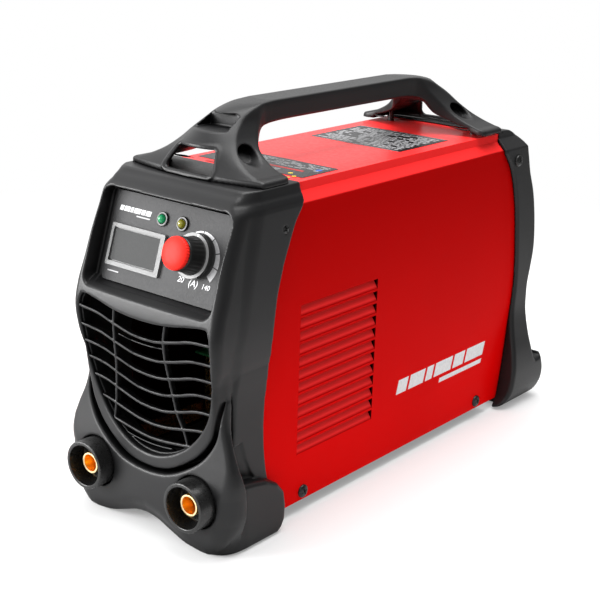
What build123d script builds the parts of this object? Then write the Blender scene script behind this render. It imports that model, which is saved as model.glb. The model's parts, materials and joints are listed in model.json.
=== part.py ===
"""Portable stick welding inverter, built as its separate pieces.

Axes, millimetres: +X to the right of a person facing the controls, +Y
towards the rear, +Z up.  Origin on the floor, on the mid-plane, half way
between the rims of the output sockets (front) and the mains plug (rear).
"""

from build123d import *

import os
from math import cos, pi, radians, sin

os.makedirs("parts", exist_ok=True)

SIDES = (-1, 1)                # left, right
ON_BASE = (Align.CENTER, Align.CENTER, Align.MIN)
HUNG = (Align.CENTER, Align.CENTER, Align.MAX)

half_length = 225.0
rim_y = -half_length           # plane of the output socket rims
gap = 0.05                     # left between pieces that touch


# ------------------------------------------------------------------- helpers
def from_rims(points):
    """Turn (y behind the socket rims, z) points into (y, z)."""
    return [(rim_y + y, z) for y, z in points]


def both_sides(right_half):
    """Points of a symmetric section, left side first, from its right half."""
    return [(-x, z) for x, z in right_half] + right_half[::-1]


def cross_section(y):
    """Sketch plane at y, seen from the front; negative extrusion goes rearward."""
    return Plane.XZ.offset(-y)


def facing_rear(x, y, z):
    """Plane with its normal to the rear; its own x axis points to the left."""
    return Plane(origin=(x, y, z), x_dir=(-1, 0, 0), z_dir=(0, 1, 0))


def side_holes(places):
    """Cut case screw holes at (y, z) places right across the part being built."""
    with Locations(*[(0, y, z) for y, z in places]):
        Cylinder(side_hole_r, 140, rotation=(0, 90, 0), mode=Mode.SUBTRACT)


# --------------------------------------------------------- shared dimensions
# sheet-metal cover
cover_half_w = 60.8            # outside of the side walls
cover_t = 1.2
cover_bottom = 8.5
chamfer_low, chamfer_high = 224.0, 231.0   # 45 degree fold
top_half_w = 53.8
top_z = 237.0

# bezels
bezel_half_w = 63.0
bezel_gap = 0.2                # bezel skin to cover
shelf_z = 239.5

# screws: (y, z) on the sides, (x, y) under the handle
side_hole_r = 2.6
low_screws = from_rims([(107.0, 15.0), (334.8, 15.0)])
front_screw, rear_screw = from_rims([(76.2, 212.0), (368.6, 214.4)])
handle_screw_x = 40.0
handle_screw_y = (rim_y + 72.0, rim_y + 335.4)
handle_screw_xy = [(side * handle_screw_x, y) for side in SIDES for y in handle_screw_y]

# output sockets
socket_x, socket_z = 47.3, 36.5

# recess and control panel; u runs right and v up the sloping panel face
panel_half_w, panel_z0, panel_z1 = 55.0, 164.3, 227.5
panel_foot_y, panel_foot_z = 25.9, 168.6   # y behind the rims
panel_tilt = 17.5
panel_plane = Plane(
    origin=(0, rim_y + panel_foot_y, panel_foot_z),
    x_dir=(1, 0, 0),
    z_dir=(0, -cos(radians(panel_tilt)), sin(radians(panel_tilt))),
)
knob_u, knob_v = 27.3, 27.4
led_u, led_v = (-8.5, 9.5), 45.2
meter_u, meter_v = -26.35, 21.2

# rear panel: y of its rear face
panel_y = rim_y + 358.0
fan_z, fan_size, fan_bore_r = 160.0, 92.0, 44.0
fan_hole_pitch = 82.5
switch_x, switch_z = 38.0, 90.0
gland_x, gland_z = -12.0, 44.0

# internals
floor_z = 10.25                # just above the floor of the base pan
board_z = 86.0
board_t = 1.6
board_top = board_z + board_t + gap
post_xy = [(x, rim_y + y) for x in (-50.0, 50.0) for y in (130.0, 222.0, 314.0)]


def panel_at(u, v, w=0.0):
    """Plane parallel to the control panel, w in front of its face."""
    return Plane(
        origin=panel_plane.from_local_coords((u, v, w)),
        x_dir=panel_plane.x_dir,
        z_dir=panel_plane.z_dir,
    )


# ------------------------------------------------------------ cover and base
cover_y0, cover_y1 = rim_y + 60.0, rim_y + 395.0

louvre_n, louvre_pitch = 12, 9.24
louvre_len, louvre_h = 87.0, 7.9
louvre_y0, louvre_z0 = rim_y + 99.3, 44.6
louvre_in = 4.6                # how far the blades bend inwards
louvre_z = [louvre_z0 + louvre_pitch * i for i in range(louvre_n)]

# rear end of the cover, hidden under the rear bezel
cover_rear_edge = [            # (y behind the rims, z)
    (362.0, 245.0), (364.0, 232.0), (373.0, 222.0), (378.0, 208.0), (381.0, 180.0),
    (385.0, 152.0), (388.5, 110.0), (384.0, 68.0), (378.0, 30.0), (374.0, 0.0),
]


def cover_shell():
    inner_half_w = cover_half_w - cover_t
    inner_top_half_w = top_half_w - cover_t
    fold_drop = 0.4 * cover_t
    with BuildPart() as piece:
        with BuildSketch(cross_section(cover_y0)):
            with BuildLine():
                Polyline(*both_sides([
                    (cover_half_w, cover_bottom), (cover_half_w, chamfer_low),
                    (top_half_w, chamfer_high), (top_half_w, top_z),
                ]), close=True)
            make_face()
            with BuildLine():
                Polyline(*both_sides([
                    (inner_half_w, cover_bottom - 1), (inner_half_w, chamfer_low - fold_drop),
                    (inner_top_half_w, chamfer_high - fold_drop),
                    (inner_top_half_w, top_z - cover_t),
                ]), close=True)
            make_face(mode=Mode.SUBTRACT)
        extrude(amount=-(cover_y1 - cover_y0))
        # louvre windows, cut through both side walls
        with Locations(*[(0, louvre_y0 + louvre_len / 2, z + louvre_h / 2) for z in louvre_z]):
            Box(2 * cover_half_w + 2, louvre_len, louvre_h, mode=Mode.SUBTRACT)
        # blades: bottom edge in the skin, top edge bent inwards
        with BuildSketch(cross_section(louvre_y0 + 0.25)):
            for side in SIDES:
                for z in louvre_z:
                    with BuildLine():
                        Polyline(
                            (side * cover_half_w, z - 0.6),
                            (side * cover_half_w, z + 0.5),
                            (side * (cover_half_w - louvre_in), z + louvre_h),
                            (side * (cover_half_w - louvre_in - 1.1), z + louvre_h - 0.6),
                            (side * inner_half_w, z - 0.6),
                            close=True,
                        )
                    make_face()
        extrude(amount=-(louvre_len - 0.5))
        # the rear end follows the rear bezel
        rear_edge = from_rims(cover_rear_edge)
        with BuildSketch(Plane.YZ.offset(-70)):
            with BuildLine():
                Spline(*rear_edge)
                Polyline(rear_edge[-1], *from_rims([(420.0, 0.0), (420.0, 245.0)]), rear_edge[0])
            make_face()
        extrude(amount=140, mode=Mode.SUBTRACT)
        side_holes([*low_screws, front_screw, rear_screw])
        with Locations(*[(x, y, top_z) for x, y in handle_screw_xy]):
            Cylinder(2.7, 6, mode=Mode.SUBTRACT)
    return piece.part


def base_pan():
    half_w = cover_half_w - cover_t - 0.15
    inner_half_w = half_w - 1.2
    bottom_z, rim_z = 9.0, 26.0
    start_y = rim_y + 66.0
    with BuildPart() as piece:
        with BuildSketch(cross_section(start_y)):
            with BuildLine():
                Polyline(*both_sides([
                    (inner_half_w, bottom_z + 1.2), (inner_half_w, rim_z),
                    (half_w, rim_z), (half_w, bottom_z),
                ]), close=True)
            make_face()
        extrude(amount=-(panel_y - 1.5 - start_y))
        # air slots in the floor
        with Locations(*[(x, rim_y + y, 9.6) for x in (-26, 0, 26) for y in (250, 290)]):
            Box(5, 26, 4, mode=Mode.SUBTRACT)
        side_holes(low_screws)
    return piece.part


# -------------------------------------------------------------- front bezel
wall = 2.6

front_profile = from_rims([    # (y behind the rims, z) of the front face
    (11.0, 14.0), (11.0, 38.0), (11.4, 60.0), (14.0, 80.0), (18.0, 91.0),
    (17.0, 96.0), (14.0, 111.0), (11.0, 130.0), (9.2, 150.0), (11.0, 165.0),
    (15.0, 180.0), (20.5, 199.0), (26.5, 215.0), (32.0, 227.0), (38.0, 235.0),
])
front_rear_edge = from_rims([  # (y behind the rims, z) where the flank stops
    (95.3, 236.0), (94.8, 228.0), (86.3, 215.0), (79.3, 199.4), (71.1, 178.7),
    (65.6, 155.7), (62.6, 111.5), (61.5, 71.0), (66.0, 40.3),
])
front_outline = [              # (x, z), right side from the top down
    (63.2, 212.0), (63.6, 190.0), (64.0, 165.0), (63.4, 140.0), (63.0, 118.0),
    (63.2, 104.0), (65.8, 88.0), (73.0, 70.0), (78.6, 52.0), (77.6, 30.0),
    (69.5, 10.0), (61.0, 2.4), (56.0, 0.0),
]
front_arch = [                 # (x, z) between the feet, right half
    (49.0, 0.0), (34.2, 2.7), (21.4, 7.0), (10.0, 11.0), (0.0, 12.6),
]
pocket_front = [               # (y behind the rims, z) of the recess walls' front edge
    (12.0, 150.0), (12.5, 165.0), (16.8, 180.0), (22.4, 199.0),
    (28.4, 215.0), (34.5, 228.0), (42.0, 237.0),
]
# grille opening in the bezel: (x, z), right half
opening_top = [(57.5, 157.0), (40.0, 155.0), (28.0, 152.5), (15.0, 151.0), (0.0, 150.0)]
opening_low = [
    (57.5, 157.0), (59.3, 153.0), (59.5, 130.0), (57.0, 110.0), (51.5, 92.0),
    (42.0, 77.0), (32.0, 67.5), (19.0, 60.0), (0.0, 56.0),
]


def pocket_ring():
    """Walls of the recess that leads back to the control panel."""
    slope = 0.3005 / 0.9538    # y per z of the rear edge, along the panel

    def rear_edge(z):
        return (panel_foot_y - 0.1 + slope * (z - panel_foot_z), z)

    with BuildPart() as ring:
        with BuildSketch(cross_section(rim_y)):
            with Locations((0, (panel_z0 + panel_z1) / 2)):
                RectangleRounded(2 * panel_half_w + 4.4, panel_z1 - panel_z0 + 4.4, 7.8)
                RectangleRounded(
                    2 * panel_half_w, panel_z1 - panel_z0, 5.6, mode=Mode.SUBTRACT
                )
        extrude(amount=-60)
        with BuildSketch(Plane.YZ.offset(-70)):
            with BuildLine():
                Polyline(
                    *from_rims([*pocket_front, rear_edge(237.0), rear_edge(150.0)]), close=True
                )
            make_face()
        extrude(amount=140, mode=Mode.INTERSECT)
    return ring.part


def front_bezel():
    pocket = pocket_ring()
    hollow_half_w = cover_half_w + bezel_gap
    hollow_top = top_z + bezel_gap
    with BuildPart() as piece:
        # side view of the whole moulding
        with BuildSketch(Plane.YZ.offset(-82)):
            with BuildLine():
                Spline(*front_profile)
                Polyline(
                    front_profile[-1],
                    *from_rims([(50.0, shelf_z + 0.3), (50.0, shelf_z + 4), (95.3, shelf_z + 4)]),
                    front_rear_edge[0],
                )
                Spline(*front_rear_edge)
                Polyline(
                    front_rear_edge[-1],
                    *from_rims([
                        (76.0, 38.0), (78.6, 30.0), (78.6, 8.0), (70.0, -0.4),
                        (70.0, -4.0), (20.0, -4.0), (15.0, 2.0),
                    ]),
                    front_profile[0],
                )
            make_face()
        extrude(amount=164)
        # front view outline: shoulders, waist, flared feet and the arch between them
        with BuildSketch(cross_section(rim_y - 2.0)):
            with BuildLine():
                Line((0, shelf_z), (54.6, shelf_z))
                Line((54.6, shelf_z), (55.4, 232.6))
                Line((55.4, 232.6), (bezel_half_w, 225.0))
                Line((bezel_half_w, 225.0), front_outline[0])
                Spline(*front_outline)
                Line(front_outline[-1], front_arch[0])
                Spline(*front_arch, tangents=[(-1, 0), (-1, 0)])
                Line(front_arch[-1], (0, shelf_z))
            make_face()
            mirror(about=Plane.YZ)
        extrude(amount=-100, mode=Mode.INTERSECT)
        # behind the corner the flank runs straight, with a foot block low down
        with BuildSketch(cross_section(rim_y + 37.0)):
            with Locations((0, 120)):
                Rectangle(200, 300)
            with Locations((0, 165.0)):
                Rectangle(2 * bezel_half_w, 240.0, mode=Mode.SUBTRACT)
            with Locations((0, 22.0)):
                Rectangle(2 * 70.5, 50.0, mode=Mode.SUBTRACT)
        extrude(amount=-80, mode=Mode.SUBTRACT)
        # hollow
        inner = [(y + wall + 0.6, z) for y, z in front_profile if z > 30]
        with BuildSketch(Plane.YZ.offset(-hollow_half_w)):
            with BuildLine():
                Spline(*inner)
                Polyline(
                    inner[-1],
                    *from_rims([(50.0, hollow_top), (130.0, hollow_top), (130.0, 8.0), (56.0, 8.0)]),
                    (inner[0][0] + 9.0, 16.0),
                    inner[0],
                )
            make_face()
        extrude(amount=2 * hollow_half_w, mode=Mode.SUBTRACT)
        # the cover's fold needs the same fold inside the bezel
        fold_x, fold_top = hollow_half_w + 0.01, hollow_top + 0.01
        with BuildSketch(cross_section(rim_y + 40.0)):
            for side in SIDES:
                with BuildLine():
                    Polyline(
                        (side * fold_x, 224.2), (side * (top_half_w + 0.3), 231.3),
                        (side * (top_half_w + 0.3), fold_top), (side * 55.0, fold_top),
                        (side * 55.4, 232.6), (side * fold_x, 226.5), close=True,
                    )
                make_face()
        extrude(amount=-52)
        # panel opening with its pocket walls
        add(pocket)
        with BuildSketch(cross_section(rim_y)):
            with Locations((0, (panel_z0 + panel_z1) / 2)):
                RectangleRounded(2 * panel_half_w, panel_z1 - panel_z0, 5.6)
        extrude(amount=-60, mode=Mode.SUBTRACT)
        # grille opening
        with BuildSketch(cross_section(rim_y)):
            with BuildLine():
                Spline(*opening_top)
                Spline(*opening_low)
                Line(opening_low[-1], opening_top[-1])
            make_face()
            mirror(about=Plane.YZ)
        extrude(amount=-60, mode=Mode.SUBTRACT)
        # socket wells: a tube with a drilled floor behind each round opening
        for side in SIDES:
            with Locations(facing_rear(side * socket_x, rim_y + 12.0, socket_z)):
                Cylinder(20.0, 14.0, align=ON_BASE)
            with Locations(facing_rear(side * socket_x, rim_y - 2.0, socket_z)):
                Cylinder(17.6, 25.0, align=ON_BASE, mode=Mode.SUBTRACT)
            with Locations(facing_rear(side * socket_x, rim_y + 20.0, socket_z)):
                Cylinder(6.3, 12.0, align=ON_BASE, mode=Mode.SUBTRACT)
        side_holes([front_screw])
        # handle screw holes in the shelf
        with Locations(*[(side * handle_screw_x, handle_screw_y[0], shelf_z) for side in SIDES]):
            Cylinder(2.7, 12, mode=Mode.SUBTRACT)
    return piece.part


# -------------------------------------------------------------- front grille
grille_y = rim_y + 8.0
grille_depth = 24.0
grille_t = 5.0                 # thickness kept, front to rear
slat_half_t = 0.9
slats_z = [                    # (z in the middle, z at the ends)
    (138.0, 148.0), (124.0, 134.5), (111.5, 122.5), (99.2, 110.7),
    (87.5, 98.3), (76.0, 84.8), (66.0, 72.7),
]
grille_side = [                # (y behind the rims, z) of the front face
    (13.8, 165.0), (14.2, 150.0), (15.4, 130.0), (18.4, 111.0), (21.8, 96.0),
    (22.6, 88.0), (19.0, 76.0), (16.2, 60.0), (15.6, 44.0),
]
# outline, right half: (x, z, outward direction x, outward direction z)
grille_top = [
    (0.0, 150.0, 0, 1), (15.0, 151.0, 0, 1), (28.0, 152.5, 0, 1),
    (40.0, 155.0, 0, 1), (57.0, 157.0, 0.7, 0.7),
]
grille_low = [
    (57.0, 157.0, 0.7, 0.7), (59.2, 150.0, 1, 0), (59.3, 130.0, 1, 0),
    (57.0, 110.0, 0.98, -0.17), (51.5, 92.0, 0.9, -0.4), (42.0, 77.0, 0.8, -0.6),
    (32.0, 67.5, 0.68, -0.73), (19.0, 60.0, 0.45, -0.9), (0.0, 56.0, 0, -1),
]
rib_outline = [                # (x, z) of the upright rib on the right
    (21.6, 152.4), (24.0, 152.6), (24.2, 130), (27.0, 104),
    (34.6, 67.5), (32.4, 65.9), (25.0, 104), (22.0, 130),
]


def grown(points, distance):
    return [(x + distance * out_x, z + distance * out_z) for x, z, out_x, out_z in points]


def grille_shape(distance):
    """The grille's outline, grown by a distance, as a face on the XY plane."""
    top, low = grown(grille_top, distance), grown(grille_low, distance)
    with BuildSketch(Plane.XY) as shape:
        with BuildLine():
            Spline(*top, tangents=[(1, 0), (1, 0)])
            Spline(*low, tangents=[(1, -1), (-1, 0)])
            Line(low[-1], top[0])
        make_face()
        mirror(about=Plane.YZ)
    return shape.sketch


def grille_slats():
    """Slats that run level in the middle and lift towards both ends."""
    with BuildPart() as slats:
        with BuildSketch(cross_section(grille_y)):
            for mid_z, end_z in slats_z:
                bend = [
                    (0, mid_z), (12, mid_z + 0.9), (28, mid_z + 0.47 * (end_z - mid_z)),
                    (42, end_z - 1.6), (62, end_z + 0.2),
                ]
                centre = [(-x, z) for x, z in reversed(bend[1:])] + bend
                upper = [(x, z + slat_half_t) for x, z in centre]
                lower = [(x, z - 2 * slat_half_t) for x, z in reversed(upper)]
                with BuildLine():
                    Spline(*upper)
                    Line(upper[-1], lower[0])
                    Spline(*lower)
                    Line(lower[-1], upper[0])
                make_face()
        extrude(amount=-grille_depth)
        with BuildSketch(cross_section(grille_y - 1.0)):
            add(grille_shape(1.0))
        extrude(amount=-(grille_depth + 2.0), mode=Mode.INTERSECT)
    return slats.part


def front_grille():
    slats = grille_slats()
    with BuildPart() as piece:
        with BuildSketch(cross_section(grille_y)):
            add(grille_shape(1.2))
            add(grille_shape(-1.0), mode=Mode.SUBTRACT)
        extrude(amount=-grille_depth)
        add(slats)
        for side in SIDES:
            with BuildSketch(cross_section(grille_y)):
                with BuildLine():
                    Polyline(*[(side * x, z) for x, z in rib_outline], close=True)
                make_face()
            extrude(amount=-grille_depth)
        # cut away all but a curved sheet, in front of it and behind it
        behind = [(y + grille_t, z) for y, z in grille_side]
        with BuildSketch(Plane.YZ.offset(-70)):
            with BuildLine():
                Polyline(*from_rims([*grille_side, (-5.0, 44.0), (-5.0, 165.0)]), close=True)
            make_face()
            with BuildLine():
                Polyline(*from_rims([*behind, (60.0, 44.0), (60.0, 165.0)]), close=True)
            make_face()
        extrude(amount=140, mode=Mode.SUBTRACT)
    return piece.part


# ------------------------------------------------------------- control panel
window_u, window_v = -0.75, 0.2        # meter window, from the meter centre
meter_box = (45.2, 26.0)


def control_panel():
    thickness = 2.2
    with BuildPart() as piece:
        with BuildSketch(panel_plane.offset(-thickness)):
            with Locations((0, 27.2)):
                RectangleRounded(115.0, 61.0, 5)
            with Locations((meter_u, meter_v)):
                Rectangle(45.8, 26.6, mode=Mode.SUBTRACT)
            with Locations(*[(u, led_v) for u in led_u]):
                Circle(4.0, mode=Mode.SUBTRACT)
            with Locations((knob_u, knob_v)):
                Circle(3.7, mode=Mode.SUBTRACT)
        extrude(amount=thickness)
    return piece.part


def meter_frame():
    with BuildPart() as piece:
        # rim on the panel
        with BuildSketch(panel_at(meter_u, meter_v, gap)):
            RectangleRounded(49.3, 28.4, 0.8)
            with Locations((window_u, window_v)):
                Rectangle(43.4, 22.9, mode=Mode.SUBTRACT)
        extrude(amount=2.0)
        # box behind the panel
        with BuildSketch(panel_at(meter_u, meter_v, -16.0)):
            Rectangle(*meter_box)
            Rectangle(43.4, 24.2, mode=Mode.SUBTRACT)
        extrude(amount=16.2)
        # ledge behind the lens
        with BuildSketch(panel_at(meter_u, meter_v, -0.5)):
            Rectangle(*meter_box)
            with Locations((window_u, window_v)):
                Rectangle(39.0, 19.0, mode=Mode.SUBTRACT)
        extrude(amount=0.6)
    return piece.part


def meter_lens():
    with BuildPart() as piece:
        with BuildSketch(panel_at(meter_u + window_u, meter_v + window_v, 0.15)):
            Rectangle(41.4, 21.2)
        extrude(amount=1.0)
    return piece.part


def meter_board():
    """Board with a block of three digits."""
    rear_w, thickness = -9.0, 1.6
    with BuildPart() as piece:
        with BuildSketch(panel_at(meter_u, meter_v, rear_w)):
            Rectangle(43.0, 23.8)
        extrude(amount=thickness)
        with BuildSketch(panel_at(meter_u, meter_v, rear_w + thickness)):
            with GridLocations(12.4, 1, 3, 1):
                Rectangle(12.0, 16.0)
        extrude(amount=6.4)
    return piece.part


def led_holders():
    with BuildPart() as piece:
        for u in led_u:
            with Locations(panel_at(u, led_v, gap)):
                Cylinder(4.9, 1.5, align=ON_BASE)
            with Locations(panel_at(u, led_v, -7.0)):
                Cylinder(3.9, 7.2, align=ON_BASE)
            with Locations(panel_at(u, led_v, -8.0)):
                Cylinder(3.05, 12, align=ON_BASE, mode=Mode.SUBTRACT)
    return piece.part


def led(u):
    radius, rear_w, length = 3.0, -7.0, 8.4
    with BuildPart() as lamp:
        with Locations(panel_at(u, led_v, rear_w)):
            Cylinder(radius, length, align=ON_BASE)
        with Locations(panel_at(u, led_v, rear_w + length)):
            Sphere(radius)
    return lamp.part


def power_led():
    return led(led_u[0])


def fault_led():
    return led(led_u[1])


# ------------------------------------------------------------- current knob
def potentiometer():
    with BuildPart() as piece:
        with Locations(panel_at(knob_u, knob_v, -11.0)):
            Cylinder(8.2, 8.6, align=ON_BASE)
        with Locations(panel_at(knob_u, knob_v, -2.5)):
            Cylinder(3.5, 5.6, align=ON_BASE)
        # three terminals below the body
        with BuildSketch(panel_at(knob_u, knob_v - 9.5, -8.0)):
            with GridLocations(4.6, 1, 3, 1):
                Rectangle(1.2, 7.0)
        extrude(amount=1.0)
        # shaft bore
        with Locations(panel_at(knob_u, knob_v, -8.0)):
            Cylinder(3.05, 20, align=ON_BASE, mode=Mode.SUBTRACT)
    return piece.part


def pot_nut():
    with BuildPart() as piece:
        with BuildSketch(panel_at(knob_u, knob_v, gap)):
            RegularPolygon(5.4, 6)
            Circle(3.55, mode=Mode.SUBTRACT)
        extrude(amount=2.0)
    return piece.part


def pot_shaft():
    with BuildPart() as piece:
        with Locations(panel_at(knob_u, knob_v, -7.8)):
            Cylinder(3.0, 23.8, align=ON_BASE)
    return piece.part


def knob_body():
    with BuildPart() as piece:
        with Locations(panel_at(knob_u, knob_v, 3.4)):
            Cylinder(15.0, 2.6, align=ON_BASE)
        with Locations(panel_at(knob_u, knob_v, 5.8)):
            Cone(12.4, 11.0, 13.2, align=ON_BASE)
        with Locations(panel_at(knob_u, knob_v, 3.0)):
            Cylinder(3.02, 13.1, align=ON_BASE, mode=Mode.SUBTRACT)
    return piece.part


def knob_cap():
    """Cap with 24 small ribs round its edge and a tapered top."""
    cap_h, top_r = 2.6, 10.4
    with BuildPart() as piece:
        with Locations(panel_at(knob_u, knob_v, 19.05)):
            Cylinder(10.6, cap_h, align=ON_BASE)
            with PolarLocations(top_r, 24):
                Cylinder(0.62, cap_h, align=ON_BASE)
        with BuildSketch(panel_at(knob_u, knob_v, 21.6)):
            Circle(top_r)
        extrude(amount=2.6, taper=38)
    return piece.part


# ------------------------------------------------------------ output sockets
sleeve_len = 22.8
insert_depth = 6.0             # front of the metal insert, behind the rims
busbar_depth, busbar_t = 33.4, 2.0


def socket_sleeves():
    with BuildPart() as piece:
        for side in SIDES:
            with Locations(facing_rear(side * socket_x, rim_y, socket_z)):
                Cylinder(17.25, sleeve_len, align=ON_BASE)
                Cylinder(14.4, 14.0, align=ON_BASE, mode=Mode.SUBTRACT)
                Cylinder(7.6, 24.0, align=ON_BASE, mode=Mode.SUBTRACT)
    return piece.part


def socket_inserts():
    bore_r = 4.5
    with BuildPart() as piece:
        for side in SIDES:
            with Locations(facing_rear(side * socket_x, rim_y + insert_depth, socket_z)):
                Cylinder(7.5, sleeve_len - insert_depth, align=ON_BASE)
                Cylinder(6.0, 39.0, align=ON_BASE)
                Cylinder(bore_r, 30.0, align=ON_BASE, mode=Mode.SUBTRACT)
                Cone(5.5, bore_r, 1.0, align=ON_BASE, mode=Mode.SUBTRACT)
            # keyway above the bore
            with Locations((side * socket_x, rim_y + 15.0, socket_z + 4.6)):
                Box(3.0, 22.0, 3.2, mode=Mode.SUBTRACT)
    return piece.part


def socket_nuts():
    with BuildPart() as piece:
        for side in SIDES:
            with BuildSketch(facing_rear(side * socket_x, rim_y + 26.2, socket_z)):
                RegularPolygon(10.6, 6)
                Circle(6.1, mode=Mode.SUBTRACT)
            extrude(amount=7.0)
    return piece.part


def output_busbars():
    """An eye on each socket, and an angled strip that runs rearward from it."""
    hole_r = 6.2
    front_y = rim_y + busbar_depth
    back_y = front_y + busbar_t
    inner_x, outer_x = socket_x - 5, socket_x + 9.8
    with BuildPart() as piece:
        for side, end_depth in ((-1, 128.0), (1, 108.0)):
            end_y = rim_y + end_depth
            with BuildSketch(facing_rear(side * socket_x, front_y, socket_z)):
                Circle(9.0)
                Circle(hole_r, mode=Mode.SUBTRACT)
            extrude(amount=busbar_t)
            with BuildSketch(Plane.XY.offset(socket_z + 8.0)):
                with BuildLine():
                    Polyline(
                        (side * inner_x, front_y), (side * outer_x, front_y),
                        (side * outer_x, end_y), (side * (outer_x - busbar_t), end_y),
                        (side * (outer_x - busbar_t), back_y), (side * inner_x, back_y),
                        close=True,
                    )
                make_face()
            extrude(amount=-14.0)
        for side in SIDES:
            with Locations(facing_rear(side * socket_x, rim_y + 30.0, socket_z)):
                Cylinder(hole_r, 8.0, align=ON_BASE, mode=Mode.SUBTRACT)
    return piece.part


# --------------------------------------------------------------------- handle
handle_length = 2 * 203.7      # front and rear mirror about half this depth
handle_z0 = 239.8
lug_z = 237.5                  # the rear foot has a lug down to here

# front half of the arch, (y behind the rims, z)
handle_outer = [
    (50.4, handle_z0), (60.5, 245.6), (66.7, 254.3), (72.0, 260.8), (77.8, 266.9),
    (86.5, 272.8), (95.6, 277.6), (108.4, 281.4), (126.0, 283.0),
]
handle_inner = [
    (105.0, handle_z0), (107.5, 250.0), (109.6, 257.5), (114.8, 263.6),
    (126.0, 267.6), (142.0, 268.6),
]
handle_flare = [               # (x, z) of the right side, seen from the front
    (12.2, 284.0), (13.2, 280.0), (15.6, 272.8), (19.6, 266.9), (23.9, 260.8),
    (30.8, 254.3), (41.2, 248.5), (52.6, 244.4), (60.0, 241.6),
]
foot_edge = [                  # (x, y behind the rims), front foot narrowing to the grip
    (61.0, 83.0), (57.0, 90.0), (46.0, 97.0), (28.0, 104.0), (12.3, 112.0),
]


def handle():
    outer, inner = from_rims(handle_outer), from_rims(handle_inner)
    rear_outer = from_rims([(handle_length - y, z) for y, z in handle_outer])
    rear_inner = from_rims([(handle_length - y, z) for y, z in handle_inner])
    front_foot = [(x, rim_y + y) for x, y in foot_edge]
    rear_foot = [(x, rim_y + handle_length - y) for x, y in reversed(foot_edge)]
    foot_half_w = foot_edge[0][0]
    foot_y0, foot_y1 = rim_y + 40.0, rim_y + handle_length - 40.0
    with BuildPart() as piece:
        # side view of the arch
        with BuildSketch(Plane.YZ.offset(-62)):
            with BuildLine():
                Spline(*outer, tangents=[(1, 0.5), (1, 0)])
                Line(outer[-1], rear_outer[-1])
                Spline(*reversed(rear_outer), tangents=[(1, 0), (1, -0.5)])
                Polyline(
                    rear_outer[0],
                    (rim_y + 349.4, handle_z0), (rim_y + 349.4, lug_z),
                    (rear_inner[0][0], lug_z),
                    rear_inner[0],
                )
                Spline(*rear_inner, tangents=[(-0.1, 1), (-1, 0)])
                Line(rear_inner[-1], inner[-1])
                Spline(*reversed(inner), tangents=[(-1, 0), (-0.1, -1)])
                Line(inner[0], outer[0])
            make_face()
        extrude(amount=124)
        # front view: narrow grip flaring to the feet
        with BuildSketch(cross_section(foot_y0)):
            with BuildLine():
                Polyline((0, 290.0), (12.2, 290.0), handle_flare[0])
                Spline(*handle_flare, tangents=[(0, -1), (1, -0.25)])
                Polyline(handle_flare[-1], (60.5, 236.0), (0, 236.0), (0, 290.0))
            make_face()
            mirror(about=Plane.YZ)
        extrude(amount=-330, mode=Mode.INTERSECT)
        # plan view
        with BuildSketch(Plane.XY.offset(230)):
            with BuildLine():
                Polyline((0, foot_y0), (foot_half_w, foot_y0), front_foot[0])
                Spline(*front_foot)
                Line(front_foot[-1], rear_foot[0])
                Spline(*rear_foot)
                Polyline(rear_foot[-1], (foot_half_w, foot_y1), (0, foot_y1), (0, foot_y0))
            make_face()
            mirror(about=Plane.YZ)
        extrude(amount=60, mode=Mode.INTERSECT)
        # a low window lengthwise through each leg, and a round hole across it
        for y in (40.0, handle_length - 130.0):
            with BuildSketch(cross_section(rim_y + y)):
                with Locations((0, 248.0)):
                    RectangleRounded(35.0, 10.0, 3.0)
            extrude(amount=-90.0, mode=Mode.SUBTRACT)
        for y in (93.0, handle_length - 93.0):
            with Locations((0, rim_y + y, 260.0)):
                Cylinder(4.2, 130, rotation=(0, 90, 0), mode=Mode.SUBTRACT)
        with Locations(*[(x, y, 236.0) for x, y in handle_screw_xy]):
            Cylinder(2.6, 11.2, align=ON_BASE, mode=Mode.SUBTRACT)
    return piece.part


def handle_screws():
    with BuildPart() as piece:
        with Locations(*[(x, y, top_z - cover_t - 3.1) for x, y in handle_screw_xy]):
            Cylinder(4.5, 3.0, align=ON_BASE)
            Cylinder(2.5, 13.4, align=ON_BASE)
    return piece.part


# ----------------------------------------------------------------- rear bezel
rear_front_edge = from_rims([  # (y behind the rims, z) of the front edge
    (349.8, 232.0), (360.6, 208.3), (371.5, 179.5), (376.5, 152.7),
    (380.6, 110.5), (376.0, 68.7), (372.2, 39.8), (367.0, 11.0),
])
rear_outer_edge = from_rims([  # (y behind the rims, z) of the rear edge
    (366.0, 240.2), (376.0, 236.6), (384.0, 226.5), (389.5, 213.0),
    (396.5, 197.0), (403.0, 177.5), (407.5, 156.0), (409.0, 134.0),
    (406.5, 118.0), (403.0, 104.0), (401.5, 86.0), (403.0, 70.0),
    (407.0, 54.0), (412.0, 39.5),
])
rear_foot_side = from_rims([   # (y behind the rims, z) round the feet, front to rear
    (362.0, 3.0), (362.0, -4.0), (421.0, -4.0), (424.0, 2.0), (429.2, 9.8),
    (430.4, 26.8), (426.0, 39.0), (412.0, 39.0),
])
rear_outline = [               # (x, z), lower right side from the top down
    (64.0, 100.0), (65.0, 82.0), (68.5, 64.0), (73.0, 46.0),
    (75.5, 30.0), (74.5, 14.0), (69.0, 4.0), (60.0, 0.0),
]
rear_arch = [(50.0, 0.0), (34.0, 3.0), (18.0, 8.4), (0.0, 12.6)]    # (x, z), right half


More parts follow.
